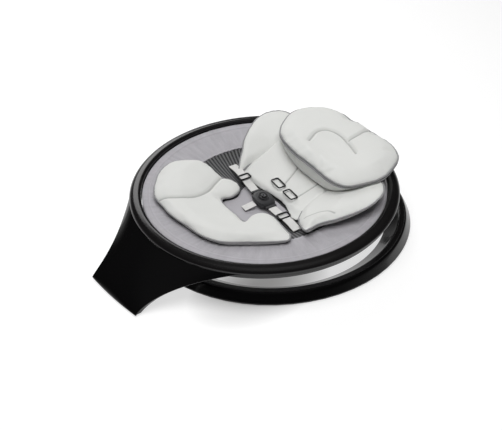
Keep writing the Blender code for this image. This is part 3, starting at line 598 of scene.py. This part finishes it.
def puffed(obj, pressure, most):
    """Blows the closed cloth up from inside for twenty frames, and moves no point by more than most."""
    start = vertices(obj)
    cloth = obj.modifiers.new("puff", "CLOTH")
    cloth.settings.quality = 4
    cloth.settings.mass = 0.25
    cloth.settings.tension_stiffness = 12
    cloth.settings.compression_stiffness = 12
    cloth.settings.shear_stiffness = 6
    cloth.settings.bending_stiffness = 0.6
    cloth.settings.air_damping = 4
    cloth.settings.use_pressure = True
    cloth.settings.uniform_pressure_force = pressure
    cloth.settings.effector_weights.gravity = 0
    cloth.point_cache.frame_end = 20
    for step in range(1, 21):
        bpy.context.scene.frame_set(step)
    evaluated(obj)
    bpy.context.scene.frame_set(1)
    moved = vertices(obj) - start
    far = np.linalg.norm(moved, axis=1)
    moved *= np.minimum(1, most / np.maximum(far, 1e-9))[:, None]
    obj.data.vertices.foreach_set("co", (start + moved).astype(np.float32).ravel())


def pressed(obj, lines, depth, width, shapes=()):
    """Sews channels into a pad: its upper side sinks beside each line, and broad shapes raise or lower it.

    The piece gets an attribute of how near each point on its upper side is to a line, for painted shade along the sewn
    channels."""
    co = vertices(obj)
    normals = np.empty(len(co) * 3, np.float32)
    obj.data.vertices.foreach_get("normal", normals)
    facing = np.clip(normals.reshape(-1, 3) @ RING_UP * 2.0, 0, 1)
    local = co - RING_CENTRE
    flat = np.stack([local @ RING_X, local[:, 1]], -1)
    change, seam_shade = np.zeros(len(co)), np.zeros(len(co))
    for line in lines:
        gap = to_line(flat, smooth_line(line, 60))[0]
        change -= depth * np.exp(-(gap / width) ** 2)
        # Painted shade: points on the upper side near a line are marked to be darkened, like the shade that falls in a
        # sewn channel.
        seam_shade = np.maximum(seam_shade, np.exp(-(gap / 0.0016) ** 2) * facing)
    for shape in shapes:
        change += shape(flat[:, 0], flat[:, 1])
    co += RING_UP * (change * facing)[:, None]
    obj.data.vertices.foreach_set("co", co.astype(np.float32).ravel())
    obj.data.attributes.new("seam_shade", "FLOAT", "POINT").data.foreach_set("value", seam_shade.astype(np.float32))
    obj.data.update()


def cushion(name, skin, outline, low, thick, replaced, seam=0.6, round_over=0.020, dome=0.25, under=None,
            pressure=4.0, most=0.006, grooves=(), depth=0.003, width=0.0035, shapes=()):
    """One stuffed piece: a crowned shell on an even grid, blown up as cloth, then sewn and shaped."""
    points, faces, loop = padded_shell(outline, low, thick, seam, round_over, dome, under)
    mesh = bpy.data.meshes.new(name)
    mesh.from_pydata(points.tolist(), [], faces.tolist())
    mesh.validate()
    obj = placed(name, mesh, skin, "seat", replaced)
    puffed(obj, pressure, most)
    ease = obj.modifiers.new("ease", "SMOOTH")
    ease.factor, ease.iterations = 0.5, 4
    smooth = obj.modifiers.new("smooth", "SUBSURF")
    smooth.levels = smooth.render_levels = 1
    evaluated(obj)
    pressed(obj, grooves, depth, width, shapes)
    obj.data.shade_smooth()
    x, y = loop.T
    return obj, on_ring(x, y, low(x, y) + thick * seam)


def piping(name, skin, path, cushion_piece, radius):
    """A cord of piping that follows a path, drawn on to the cushion's skin where that is near."""
    tree = BVHTree.FromObject(cushion_piece, bpy.context.evaluated_depsgraph_get())
    hits = [tree.find_nearest(Vector(p)) for p in path]
    line = np.array([h[0] + h[1] * radius * 0.55 for h in hits])
    for _ in range(3):
        line[1:-1] = (line[:-2] + 2 * line[1:-1] + line[2:]) / 4
    return Surface().grid(tube(line, radius, closed=False), round_cols=True, caps=True).piece(
        name, skin, "seat", slot="grey_fabric")


# ------------------------------------------------------------------ the stand


def leg_face(u, v):
    """Outer face of the leg: rulings from an arc of the seat ring down to a bowed line at the floor.

    z is linear in v, and x and y go with (1 - v) to the powers of the crown and the narrowing."""
    angle = math.pi - u * LEG_ANGLE
    radius = RING_OUT - 0.0015
    top = on_ring(radius * np.cos(angle), radius * np.sin(angle), -0.0112)
    bottom = np.stack([BASE_MIDDLE - LEG_REACH - LEG_BOW * (1 - u * u), LEG_HALF * u,
                       np.full_like(u, LEG_LOW)], -1)
    straight = (1 - v)[..., None]
    bent = straight ** np.array([LEG_CROWN, LEG_NARROWING, 1.0])
    return bottom + (top - bottom) * bent


def leg_back(u, v, depth):
    """The same face moved inwards by a depth, along its normal."""
    step = 1e-3
    across = leg_face(u + step, v) - leg_face(u - step, v)
    down = leg_face(u, np.minimum(1, v + step)) - leg_face(u, np.maximum(0, v - step))
    normal = np.cross(down, across)
    normal /= np.linalg.norm(normal, axis=-1)[..., None]
    normal *= np.sign(((leg_face(u, v) - RING_CENTRE) * normal).sum(-1))[..., None]
    return leg_face(u, v) - normal * depth[..., None]


def leg_panel():
    """Front and back of the panel as one section round its thickness, carried from the ring to the floor."""
    v = 1 - np.linspace(1, 0, 72)[:, None] ** 1.5
    turn = np.linspace(0, math.pi, 7)
    across = np.linspace(-1, 1, LEG_COLUMNS)
    half = LEG_WALL / 2
    edge = 0.0013 / 0.13
    u = np.concatenate([across, 1 + edge * np.sin(turn)[1:-1], across[::-1], -1 - edge * np.sin(turn)[1:-1]])
    depth = np.concatenate([np.zeros(LEG_COLUMNS), half - half * np.cos(turn)[1:-1],
                            np.full(LEG_COLUMNS, LEG_WALL), half + half * np.cos(turn)[1:-1]])
    u, depth, v = np.broadcast_arrays(u[None], depth[None], v)
    return leg_back(u * (1 - edge), v, depth)


class SWING_OT_stand(bpy.types.Operator):
    """Builds the floor ring, the leg and the seat ring in gloss and satin black"""

    bl_idname = "swing.stand"
    bl_label = "Stand"

    def execute(self, context):
        looks = context.scene.swing_stand
        gloss = lacquer("gloss_black", looks)
        top = satin("satin_black", looks.satin, looks.satin_roughness)
        floor_ring = rounded([(0.0, BASE_LOW), (0.0105, 0.0255), (0.0132, BASE_HIGH), (0.0295, BASE_HIGH),
                              (0.0330, 0.0255), (BASE_WIDE, BASE_LOW), (0.0555, BASE_LOW), (0.0300, 0.0242),
                              (0.0160, 0.0242), (0.0036, BASE_LOW)],
                             (0.0012, 0.0060, 0.0022, 0.0018, 0.0030, 0.0012, 0.0010, 0.0015, 0.0015,
                              0.0010))
        Surface().grid(round_floor(floor_ring), True, True).piece(
            "floor_ring_shell", gloss, "base", ("base_ring",), "gloss_black")
        trim = rounded([(0.0155, 0.0286), (0.0160, BASE_TRIM_TOP), (0.0270, BASE_TRIM_TOP),
                        (0.0275, 0.0286)], 0.0007)
        Surface().grid(round_floor(trim), True, True).piece(
            "floor_ring_trim", top, "base", ("base_top_trim",), "satin_black")
        shell = rounded([(0.3055, -0.0104), (0.3045, -0.0240), (0.2985, -0.0300), (0.2885, -0.0300),
                         (RING_IN, -0.0260), (RING_IN, -0.0104), (0.2870, -0.0104), (0.2870, -0.0245),
                         (0.2900, -0.0275), (0.2970, -0.0275), (0.3020, -0.0225), (0.3030, -0.0104)],
                        (0.0008, 0.005, 0.005, 0.003, 0.003, 0.0005, 0.0005, 0.002, 0.002, 0.002, 0.002,
                         0.0005))
        Surface().grid(round_about(shell), True, True).piece(
            "seat_ring_body", gloss, "frame", ("seat_ring_shell",), "gloss_black")
        cap = rounded([(RING_IN, -0.0100), (RING_IN, -0.0008), (0.2866, 0.0012), (0.2920, 0.0030),
                       (0.3030, 0.0012), (0.3090, -0.0026), (RING_OUT, -0.0070), (0.3112, -0.0100),
                       (0.3080, -0.0100), (0.3070, -0.0065), (0.2895, -0.0035), (0.2875, -0.0100)],
                      (0.0005, 0.0010, 0.0016, 0.0030, 0.0040, 0.0030, 0.0020, 0.0006, 0.0005, 0.001, 0.001,
                       0.0005))
        Surface().grid(round_about(cap), True, True).piece(
            "seat_ring_cap", top, "frame", ("seat_ring_trim",), "satin_black")
        leg = Surface().grid(leg_panel(), round_cols=True, strips=LEG_COLUMNS)
        leg.piece("leg_panel", gloss, "frame", ("leg_skin",), "gloss_black", 50)
        return {"FINISHED"}


class SWING_OT_fittings(bpy.types.Operator):
    """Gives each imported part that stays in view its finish"""

    bl_idname = "swing.fittings"
    bl_label = "Fittings"

    def execute(self, context):
        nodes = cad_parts
        looks = context.scene.swing_stand
        gloss = lacquer("gloss_black_parts", looks)
        dark = satin("dark_plastic", (0.012, 0.012, 0.013), 0.5)
        soft = satin("satin_parts", looks.satin, looks.satin_roughness)
        buckle = satin("buckle_parts", context.scene.swing_harness.plastic, 0.42, 1400.0)
        finishes = {
            gloss: ("leg_cover", "base_ring", "seat_ring_shell", "leg_skin"),
            dark: ("base_cover", "power_inlet", "seat_rim", "foot_pivot_bush", "head_pivot_bush"),
            soft: ("hinge_arm", "power_button", "fold_release", "buckle_button", "base_top_trim",
                   "seat_ring_trim"),
            rubber("rubber"): [n for n in nodes if n.startswith(("foot_pad", "arm_pad", "rest_bumper"))],
            bare_metal("steel", (0.55, 0.55, 0.57), 0.3): (
                "hinge_pin", "foot_pivot_shaft", "head_pivot_shaft", "foot_centring_spring",
                "head_centring_spring", "drive_magnet", "ballast_weight"),
            bare_metal("alloy", (0.62, 0.62, 0.64), 0.42): ("leg_frame",),
            bare_metal("copper", (0.70, 0.32, 0.14), 0.35): ("drive_coil",),
            circuit_board("board"): ("control_board",),
            buckle: ("buckle_body", "left_tongue", "right_tongue", "left_adjuster", "right_adjuster",
                     "left_shoulder_ring", "right_shoulder_ring"),
        }
        for skin, names in finishes.items():
            for name in names:
                mesh = nodes[name].data
                mesh.materials.clear()
                mesh.materials.append(skin)
        return {"FINISHED"}


# ------------------------------------------------------------------ the seat


def gathers(angle, seed, counts=(41, 67, 97, 131)):
    """A sum of sines round the ring with changing strength, from 0 to 1."""
    rng = np.random.default_rng(seed)
    total = np.zeros_like(angle)
    for n in counts:
        a, b, c = rng.uniform(0, math.tau, 3)
        total += np.sin(n * angle + a) * (0.55 + 0.45 * np.sin(5 * angle + b) * np.sin(3 * angle + c))
    return total / len(counts)


class SWING_OT_seat_cloth(bpy.types.Operator):
    """Stretches the gathered band over the seat's rim and hangs the ribbed mesh inside it"""

    bl_idname = "swing.seat_cloth"
    bl_label = "Seat cloth"

    def execute(self, context):
        looks = context.scene.swing_cloth
        skin = band_cloth("band_fabric", looks.band)
        a = np.linspace(0, math.tau, ROUND_STEPS, endpoint=False)[:, None]
        path = smooth_line([(0.1915, -0.0186), (0.200, -0.0166), (0.225, -0.0128), (0.250, -0.0088),
                            (0.2660, -0.0060), (0.2740, -0.0045), (0.2795, -0.0046), (0.2822, -0.0070),
                            (0.2826, -0.0130)], 46)
        r, h = path.T
        inward = np.clip((0.270 - r) / 0.020, 0, 1)
        lift = looks.gather * inward * gathers(a, 3) + 0.0016 * np.exp(-((r - 0.2655) / 0.0022) ** 2)
        lift = lift - 0.0010 * np.exp(-((r - 0.2620) / 0.0014) ** 2)
        lift = lift + 0.0014 * np.exp(-((r - 0.1935) / 0.0018) ** 2) + 0.0012 * inward
        strip = Surface().grid(on_ring(np.cos(a) * r, np.sin(a) * r, h + lift), round_rows=True, solid=False)
        band = strip.piece("seat_band", skin, "seat", ("fabric_band",), "band_fabric")
        wall = band.modifiers.new("cloth", "SOLIDIFY")
        wall.thickness, wall.offset = 0.0012, -1.0

        skin = spacer_mesh("mesh_fabric", looks.mesh)
        r = np.linspace(0.0015, 0.1925, 96)
        rib = 0.0007 * np.sin(RIBS * a + 1.4 * np.sin(34 * r)) * np.clip((r - 0.06) / 0.06, 0, 1)
        flat = on_ring(np.cos(a) * r, np.sin(a) * r, bed(r, 0 * r) + 0.0002 + rib)
        bowl = Surface().grid(flat, round_rows=True, solid=False)
        first = np.arange(ROUND_STEPS) * len(r)
        bowl.faces += [[int(p), int(q), bowl.count] for p, q in zip(first, np.roll(first, -1))]
        bowl.points.append(on_ring(0.0, 0.0, -BOWL_DROP).reshape(1, 3))
        bowl.cloth.append(np.zeros((1, 2)))
        obj = bowl.piece("seat_mesh", skin, "seat", ("mesh_bowl",), "mesh_fabric")
        wall = obj.modifiers.new("cloth", "SOLIDIFY")
        wall.thickness, wall.offset = 0.0014, -1.0
        return {"FINISHED"}


LOWER = [(-.029, .123), (-.017, .109), (-.011, .088), (-.018, .069), (-.044, .057), (-.078, .056),
         (-.088, .020), (-.091, -.020), (-.096, -.052), (-.066, -.038), (-.038, -.042), (-.030, -.074), (-.051, -.132),
         (-.085, -.191), (-.127, -.171), (-.161, -.145), (-.203, -.111), (-.218, -.089), (-.229, -.057),
         (-.233, -.006), (-.236, .045), (-.231, .089), (-.225, .122), (-.204, .155), (-.166, .193),
         (-.129, .212), (-.099, .214), (-.067, .197), (-.041, .173)]
LOWER_SEAM = [(-.232, .113), (-.202, .091), (-.172, .076), (-.139, .074), (-.101, .083), (-.065, .100),
              (-.030, .116)]
BACK = [(.016, .116), (.018, .088), (.022, .045), (.026, .010), (.024, -.030), (.012, -.064), (-.004, -.100),
        (.010, -.120), (.080, -.108), (.150, -.108), (.190, -.112), (.236, -.075), (.250, .0), (.236, .075),
        (.190, .112), (.146, .116), (.090, .122), (.050, .124)]
FAR_WING = [(.017, .111), (.031, .132), (.058, .157), (.084, .177), (.121, .198), (.162, .209), (.196, .201),
            (.219, .182), (.224, .155), (.205, .118), (.148, .099), (.090, .105), (.050, .112)]
NEAR_WING = [(-.035, -.161), (-.012, -.130), (.009, -.111), (.046, -.092), (.098, -.086), (.150, -.092),
             (.196, -.120), (.206, -.150), (.190, -.186), (.181, -.206), (.151, -.236), (.111, -.248),
             (.070, -.243), (.026, -.226), (-.012, -.204), (-.050, -.196)]
PILLOW = [(.210, .149), (.135, .104), (.106, .030), (.095, -.053), (.087, -.129), (.104, -.176),
          (.171, -.203), (.236, -.188), (.270, -.164), (.293, -.115), (.301, -.040), (.302, .066), (.273, .127)]
CROTCH = [(-.078, .060), (-.086, .020), (-.090, -.020), (-.092, -.046), (-.060, -.034), (-.028, -.040),
          (-.020, -.068), (-.004, -.088), (.014, -.078), (.025, -.034), (.029, .006), (.026, .044),
          (.022, .078), (-.006, .076), (-.040, .058)]


class SWING_OT_inlays(bpy.types.Operator):
    """Makes the padded inlays, wings and head pillow as puffed cloth, and pipes their edges"""

    bl_idname = "swing.inlays"
    bl_label = "Padded inlays"

    def execute(self, context):
        looks = context.scene.swing_cloth
        skin = inlay_cloth("inlay_fabric", looks.inlay)
        cord = grey_cloth("piping_fabric", looks.piping)
        grey = grey_cloth("crotch_fabric", shade(looks.band, 1.05), 1.12)

        def on_bed(lift, rise=0.0, across=0.0, slope=0.0):
            def low(x, y):
                return (bed(x, y) + lift + rise * x + across * np.maximum(np.abs(y) - 0.11, 0)
                        + slope * np.maximum(x - 0.03, 0))
            return low

        def bolster(x, y):
            side = to_line(np.stack([x, y], -1), smooth_line(LOWER_SEAM, 60))
            beyond = np.clip((y - side[1][:, 1]) / 0.030, 0, 1)
            return 0.006 * np.sin(beyond * math.pi / 2)

        lower, edge = cushion(
            "lower_cushion", skin, LOWER, on_bed(PAD_LIFT), 0.0175, ("lower_inlay",), grooves=[LOWER_SEAM],
            depth=0.0034, shapes=[bolster])
        piping("lower_piping", cord, np.vstack([edge, edge[:1]]), lower, looks.pipe)

        cushion(
            "back_cushion", skin, BACK, on_bed(PAD_LIFT, slope=0.16), 0.0115, ("back_inlay",), most=0.004,
            dome=0.1, depth=0.0032, width=0.0022,
            grooves=[[(.058, .002), (.150, .020)], [(.052, -.055), (.100, -.067), (.150, -.078)]])

        tuck = [(-.010, -.150), (.020, -.170), (.030, -.205)]
        for name, outline, node, grooves in (("far_wing", FAR_WING, "left_wing", []),
                                             ("near_wing", NEAR_WING, "right_wing", [tuck])):
            wing, edge = cushion(name, skin, outline, on_bed(PAD_LIFT, 0.03, 0.11), 0.0185, (node,),
                                 most=0.005, grooves=grooves, depth=0.0015, width=0.006)
            piping(name + "_piping", cord, np.vstack([edge, edge[:1]]), wing, looks.pipe)

        def dish(x, y):
            out = ((x - .168) / .042) ** 2 + ((y + .060) / .078) ** 2
            return -0.0095 * np.exp(-out ** 2)

        def on_back(x, y):
            """The pillow's underside: on the back and wings, but clear of the ring at every swing."""
            back = on_bed(PAD_LIFT + 0.0125, slope=0.16)(x, y)
            wing = on_bed(PAD_LIFT + 0.0195, 0.03, 0.11)(x, y)
            clear = np.clip((np.hypot(x, y) - 0.225) / 0.030, 0, 1) ** 2
            filled = np.maximum(back, np.where(np.abs(y) > 0.10, wing, back))
            return filled + (0.0215 - filled) * clear

        pillow, edge = cushion(
            "head_cushion", skin, PILLOW, lambda x, y: 0.0200 + 0.02 * (x - .2), 0.0320, ("head_pillow",),
            seam=0.55, round_over=0.036, dome=0.35, under=on_back, pressure=5.0,
            most=0.007, depth=0.0050, width=0.0045, shapes=[dish],
            grooves=[[(.150, .012), (.185, .024), (.208, .012), (.215, -.020), (.207, -.064), (.195, -.100)],
                     [(.216, -.055), (.250, -.054), (.292, -.048)]])
        loop = np.vstack([edge, edge[:1]])
        piping("head_piping_upper", cord, loop + RING_UP * 0.0030, pillow, looks.pipe)
        piping("head_piping_lower", cord, loop - RING_UP * 0.0040, pillow, looks.pipe)

        cushion("crotch_cushion", grey, CROTCH, on_bed(0.0022), 0.0060, ("crotch_pad",), seam=0.5,
                round_over=0.008, dome=0.05, pressure=1.0, most=0.0015)
        return {"FINISHED"}


# ------------------------------------------------------------------ the harness


def on_hub(points):
    """Points of the buckle's own frame in the row frame."""
    p = np.array(points, float)
    c, s = math.cos(HUB_TURN), math.sin(HUB_TURN)
    return on_ring(HUB_PLACE[0] + c * p[..., 0] - s * p[..., 1], HUB_PLACE[1] + s * p[..., 0] + c * p[..., 1],
                   HUB_LEVEL + p[..., 2])


def strap(path, across, width, thick=0.0016, count=70):
    """Webbing: a flattened section with soft edges along a smooth line, and its UV in metres."""
    line = smooth_line(path, count)
    side = np.array(across, float)
    ahead = np.gradient(line, axis=0)
    up = np.cross(ahead, side)
    up /= np.linalg.norm(up, axis=1)[:, None]
    t = np.linspace(0, math.tau, 28, endpoint=False)
    w = width / 2 * np.sign(np.cos(t)) * np.abs(np.cos(t)) ** 0.35
    h = thick / 2 * np.sign(np.sin(t)) * np.abs(np.sin(t)) ** 0.6
    far = np.concatenate([[0.0], np.linalg.norm(np.diff(line, axis=0), axis=1).cumsum()])
    points = line[:, None] + side * w[None, :, None] + up[:, None] * h[None, :, None]
    marks = np.stack(np.broadcast_arrays(far[:, None], w[None, :]), -1)
    return on_hub(points), marks


class SWING_OT_harness(bpy.types.Operator):
    """Threads the harness webbing through its tongues, adjusters and loops"""

    bl_idname = "swing.harness"
    bl_label = "Harness"

    def execute(self, context):
        looks = context.scene.swing_harness
        skin = woven_webbing("webbing", looks.webbing)
        points, marks = strap([(-.054, 0, .0000), (-.046, 0, .0006), (-.036, 0, .0020), (-.0245, 0, .0035)],
                              (0, 1, 0), looks.width)
        Surface().grid(points, round_cols=True, caps=True, cloth=marks).piece(
            "crotch_webbing", skin, "seat", ("crotch_strap",), "webbing")
        plastic = satin("buckle_plastic", looks.plastic, 0.34, 1400.0)
        dark = satin("loop_plastic", shade(looks.plastic, 0.35), 0.30, 1400.0)
        light = satin("button_plastic", shade(looks.plastic, 4.0), 0.36, 1400.0)

        def hoop(name, skin, centre, half, radius, body, replaced=(), corner=4.0):
            """A rod bent round a rounded rectangle, |x/a|^n + |y/b|^n = 1, in the buckle's own frame."""
            t = np.linspace(0, math.tau, 96, endpoint=False)
            x, y = (h * np.sign(f) * np.abs(f) ** (2 / corner) for h, f in zip(half, (np.cos(t), np.sin(t))))
            line = evenly(np.stack([x, y], -1)[np.r_[0:96, 0]], 97)[:-1]
            path = np.concatenate([line, np.zeros((96, 1))], 1) + centre
            Surface().grid(tube(on_hub(path), radius), round_rows=True, round_cols=True).piece(
                name, skin, body, replaced, "dark_plastic")

        hoop("buckle_ring", plastic, (0, 0, .0158), (.0098, .0125), .0014, "seat", corner=2.4)
        hoop("button_ring", light, (0, 0, .0178), (.0030, .0050), .0011, "buckle_button", corner=2.2)
        for name, side in (("left", 1), ("right", -1)):
            hoop(name + "_adjuster_frame", dark, (0, side * .0905, .0160), (.0138, .0090), .0021,
                 name + "_adjuster", (name + "_adjuster",), 6.0)
            hoop(name + "_shoulder_loop", dark, (.056, side * .027, .0150), (.0095, .0190), .0017, "seat",
                 (name + "_shoulder_ring",), 7.0)
            path = [(0, side * y, z) for y, z in ((.0396, .0062), (.066, .0085), (.0905, .0128),
                                                  (.115, .0165), (.150, .0140))]
            points, marks = strap(path, (1, 0, 0), looks.width)
            Surface().grid(points, round_cols=True, caps=True, cloth=marks).piece(
                name + "_waist_webbing", skin, "seat", (name + "_waist_strap",), "webbing")
        return {"FINISHED"}


# ------------------------------------------------------------------ floor, light and camera


class SWING_OT_stage(bpy.types.Operator):
    """Sets the pale floor, the soft studio light and the camera"""

    bl_idname = "swing.stage"
    bl_label = "Stage"

    def execute(self, context):
        scene = context.scene
        half = 80.0
        corners = [[(-half, -half, 0), (half, -half, 0)], [(-half, half, 0), (half, half, 0)]]
        floor = Surface().grid(np.array(corners), solid=False)
        paper = Finish("floor", (0.42, 0.42, 0.42), 0.42, Specular_IOR_Level=0.25)
        grain = paper.noise(paper.place(), 3.0, 2.0)
        paper.put("Base Color", paper.mix(grain, (0.415, 0.415, 0.415), (0.425, 0.425, 0.425)))
        # Painted shadow: the floor's glow is darkened in an oval on the ground under the seat, standing in for the
        # shade that falls there.
        x, y, _ = paper.parts(paper.place())
        painted_shadow = ((x + 0.12) * (x + 0.12) * 30.0 + (y + 0.17) * (y + 0.17) * 75.0) * -1.0 + 1.0
        paper.put("Emission Color", paper.mix(painted_shadow.clamped() * 0.75, (1.0, 1.0, 1.0), (0.10, 0.095, 0.09)))
        paper.put("Emission Strength", 0.66)
        mesh = bpy.data.meshes.new("floor")
        mesh.from_pydata(np.vstack(floor.points).tolist(), [], floor.faces)
        mesh.materials.append(paper.material)
        obj = bpy.data.objects.new("floor", mesh)
        scene.collection.objects.link(obj)

        def lamp(name, place, aim, size, power, shown=True):
            data = bpy.data.lights.new(name, "AREA")
            data.shape, data.size, data.energy = "DISK", size, power
            light = bpy.data.objects.new(name, data)
            light.location = place
            light.rotation_mode = "QUATERNION"
            light.rotation_quaternion = (Vector(aim) - Vector(place)).to_track_quat("-Z", "Y")
            light.visible_glossy = shown
            light.visible_camera = False
            scene.collection.objects.link(light)

        lamp("key", (-0.5, -0.5, 2.6), (0.0, 0.0, 0.1), 2.4, 62.0, shown=False)
        lamp("back", (0.9, 1.5, 1.5), (0.0, 0.0, 0.1), 1.2, 9.0, shown=False)
        lamp("sheen", (0.62, 1.75, 1.15), (0.0, 0.0, 0.1), 1.2, 9.0, shown=True)

        world = bpy.data.worlds.new("studio")
        world.use_nodes = True
        tree = world.node_tree
        scene.world = world
        sky = tree.nodes["Background"]
        coords = tree.nodes.new("ShaderNodeTexCoord")
        split = tree.nodes.new("ShaderNodeSeparateXYZ")
        tree.links.new(coords.outputs["Generated"], split.inputs[0])
        ramp = tree.nodes.new("ShaderNodeValToRGB")
        ramp.color_ramp.interpolation = "EASE"
        stops = ((0.0, 0.55), (0.28, 0.03), (0.60, 0.05), (0.85, 0.12), (1.0, 0.60))
        while len(ramp.color_ramp.elements) < len(stops):
            ramp.color_ramp.elements.new(0.5)
        for element, (at, grey) in zip(ramp.color_ramp.elements, stops):
            element.position, element.color = at, (grey, grey, grey, 1.0)
        tree.links.new(split.outputs[2], ramp.inputs[0])
        tree.links.new(ramp.outputs[0], sky.inputs[0])
        sky.inputs[1].default_value = 0.62

        scene.view_settings.view_transform = "Standard"
        data = bpy.data.cameras.new("camera")
        data.sensor_width, data.lens = 36.0, 75.10
        data.clip_start, data.clip_end = 0.1, 30.0
        camera = bpy.data.objects.new("camera", data)
        scene.collection.objects.link(camera)
        turn, tilt, far, off_x, off_y = math.radians(39.4), math.radians(35.5), 2.5, 0.055, -0.010
        right = Vector((math.cos(turn), -math.sin(turn), 0))
        ahead = Vector((math.sin(turn) * math.cos(tilt), math.cos(turn) * math.cos(tilt), -math.sin(tilt)))
        up = right.cross(ahead)
        place = Vector((BASE_MIDDLE, 0, 0)) - far * ahead - off_x * right - off_y * up
        axes = Matrix((right, up, -ahead)).transposed().to_4x4()
        camera.matrix_world = Matrix.Translation(place) @ axes
        scene.camera = camera
        return {"FINISHED"}


class SWING_PT_panel(bpy.types.Panel):
    """Lists the swing's sizes and colours, and a button for each group of pieces"""

    bl_idname = "SWING_PT_panel"
    bl_label = "Baby swing"
    bl_space_type = "VIEW_3D"
    bl_region_type = "UI"
    bl_category = "Baby swing"

    def draw(self, context):
        for group in GROUPS:
            looks = getattr(context.scene, group)
            box = self.layout.box()
            for name in looks.__annotations__:
                box.prop(looks, name)
        for operator in OPERATORS:
            self.layout.operator(operator.bl_idname)


GROUPS = {"swing_stand": StandLooks, "swing_cloth": ClothLooks, "swing_harness": HarnessLooks}
OPERATORS = (SWING_OT_stand, SWING_OT_fittings, SWING_OT_seat_cloth, SWING_OT_inlays, SWING_OT_harness,
             SWING_OT_stage)
CLASSES = (*GROUPS.values(), *OPERATORS, SWING_PT_panel)


def register():
    for item in CLASSES:
        bpy.utils.register_class(item)
    for name, group in GROUPS.items():
        setattr(bpy.types.Scene, name, PointerProperty(type=group))


def unregister():
    for name in GROUPS:
        delattr(bpy.types.Scene, name)
    for item in reversed(CLASSES):
        bpy.utils.unregister_class(item)


def main():
    register()
    bpy.ops.swing.stand()
    bpy.ops.swing.fittings()
    bpy.ops.swing.seat_cloth()
    bpy.ops.swing.inlays()
    bpy.ops.swing.harness()
    bpy.ops.swing.stage()


if __name__ == "__main__":
    main()
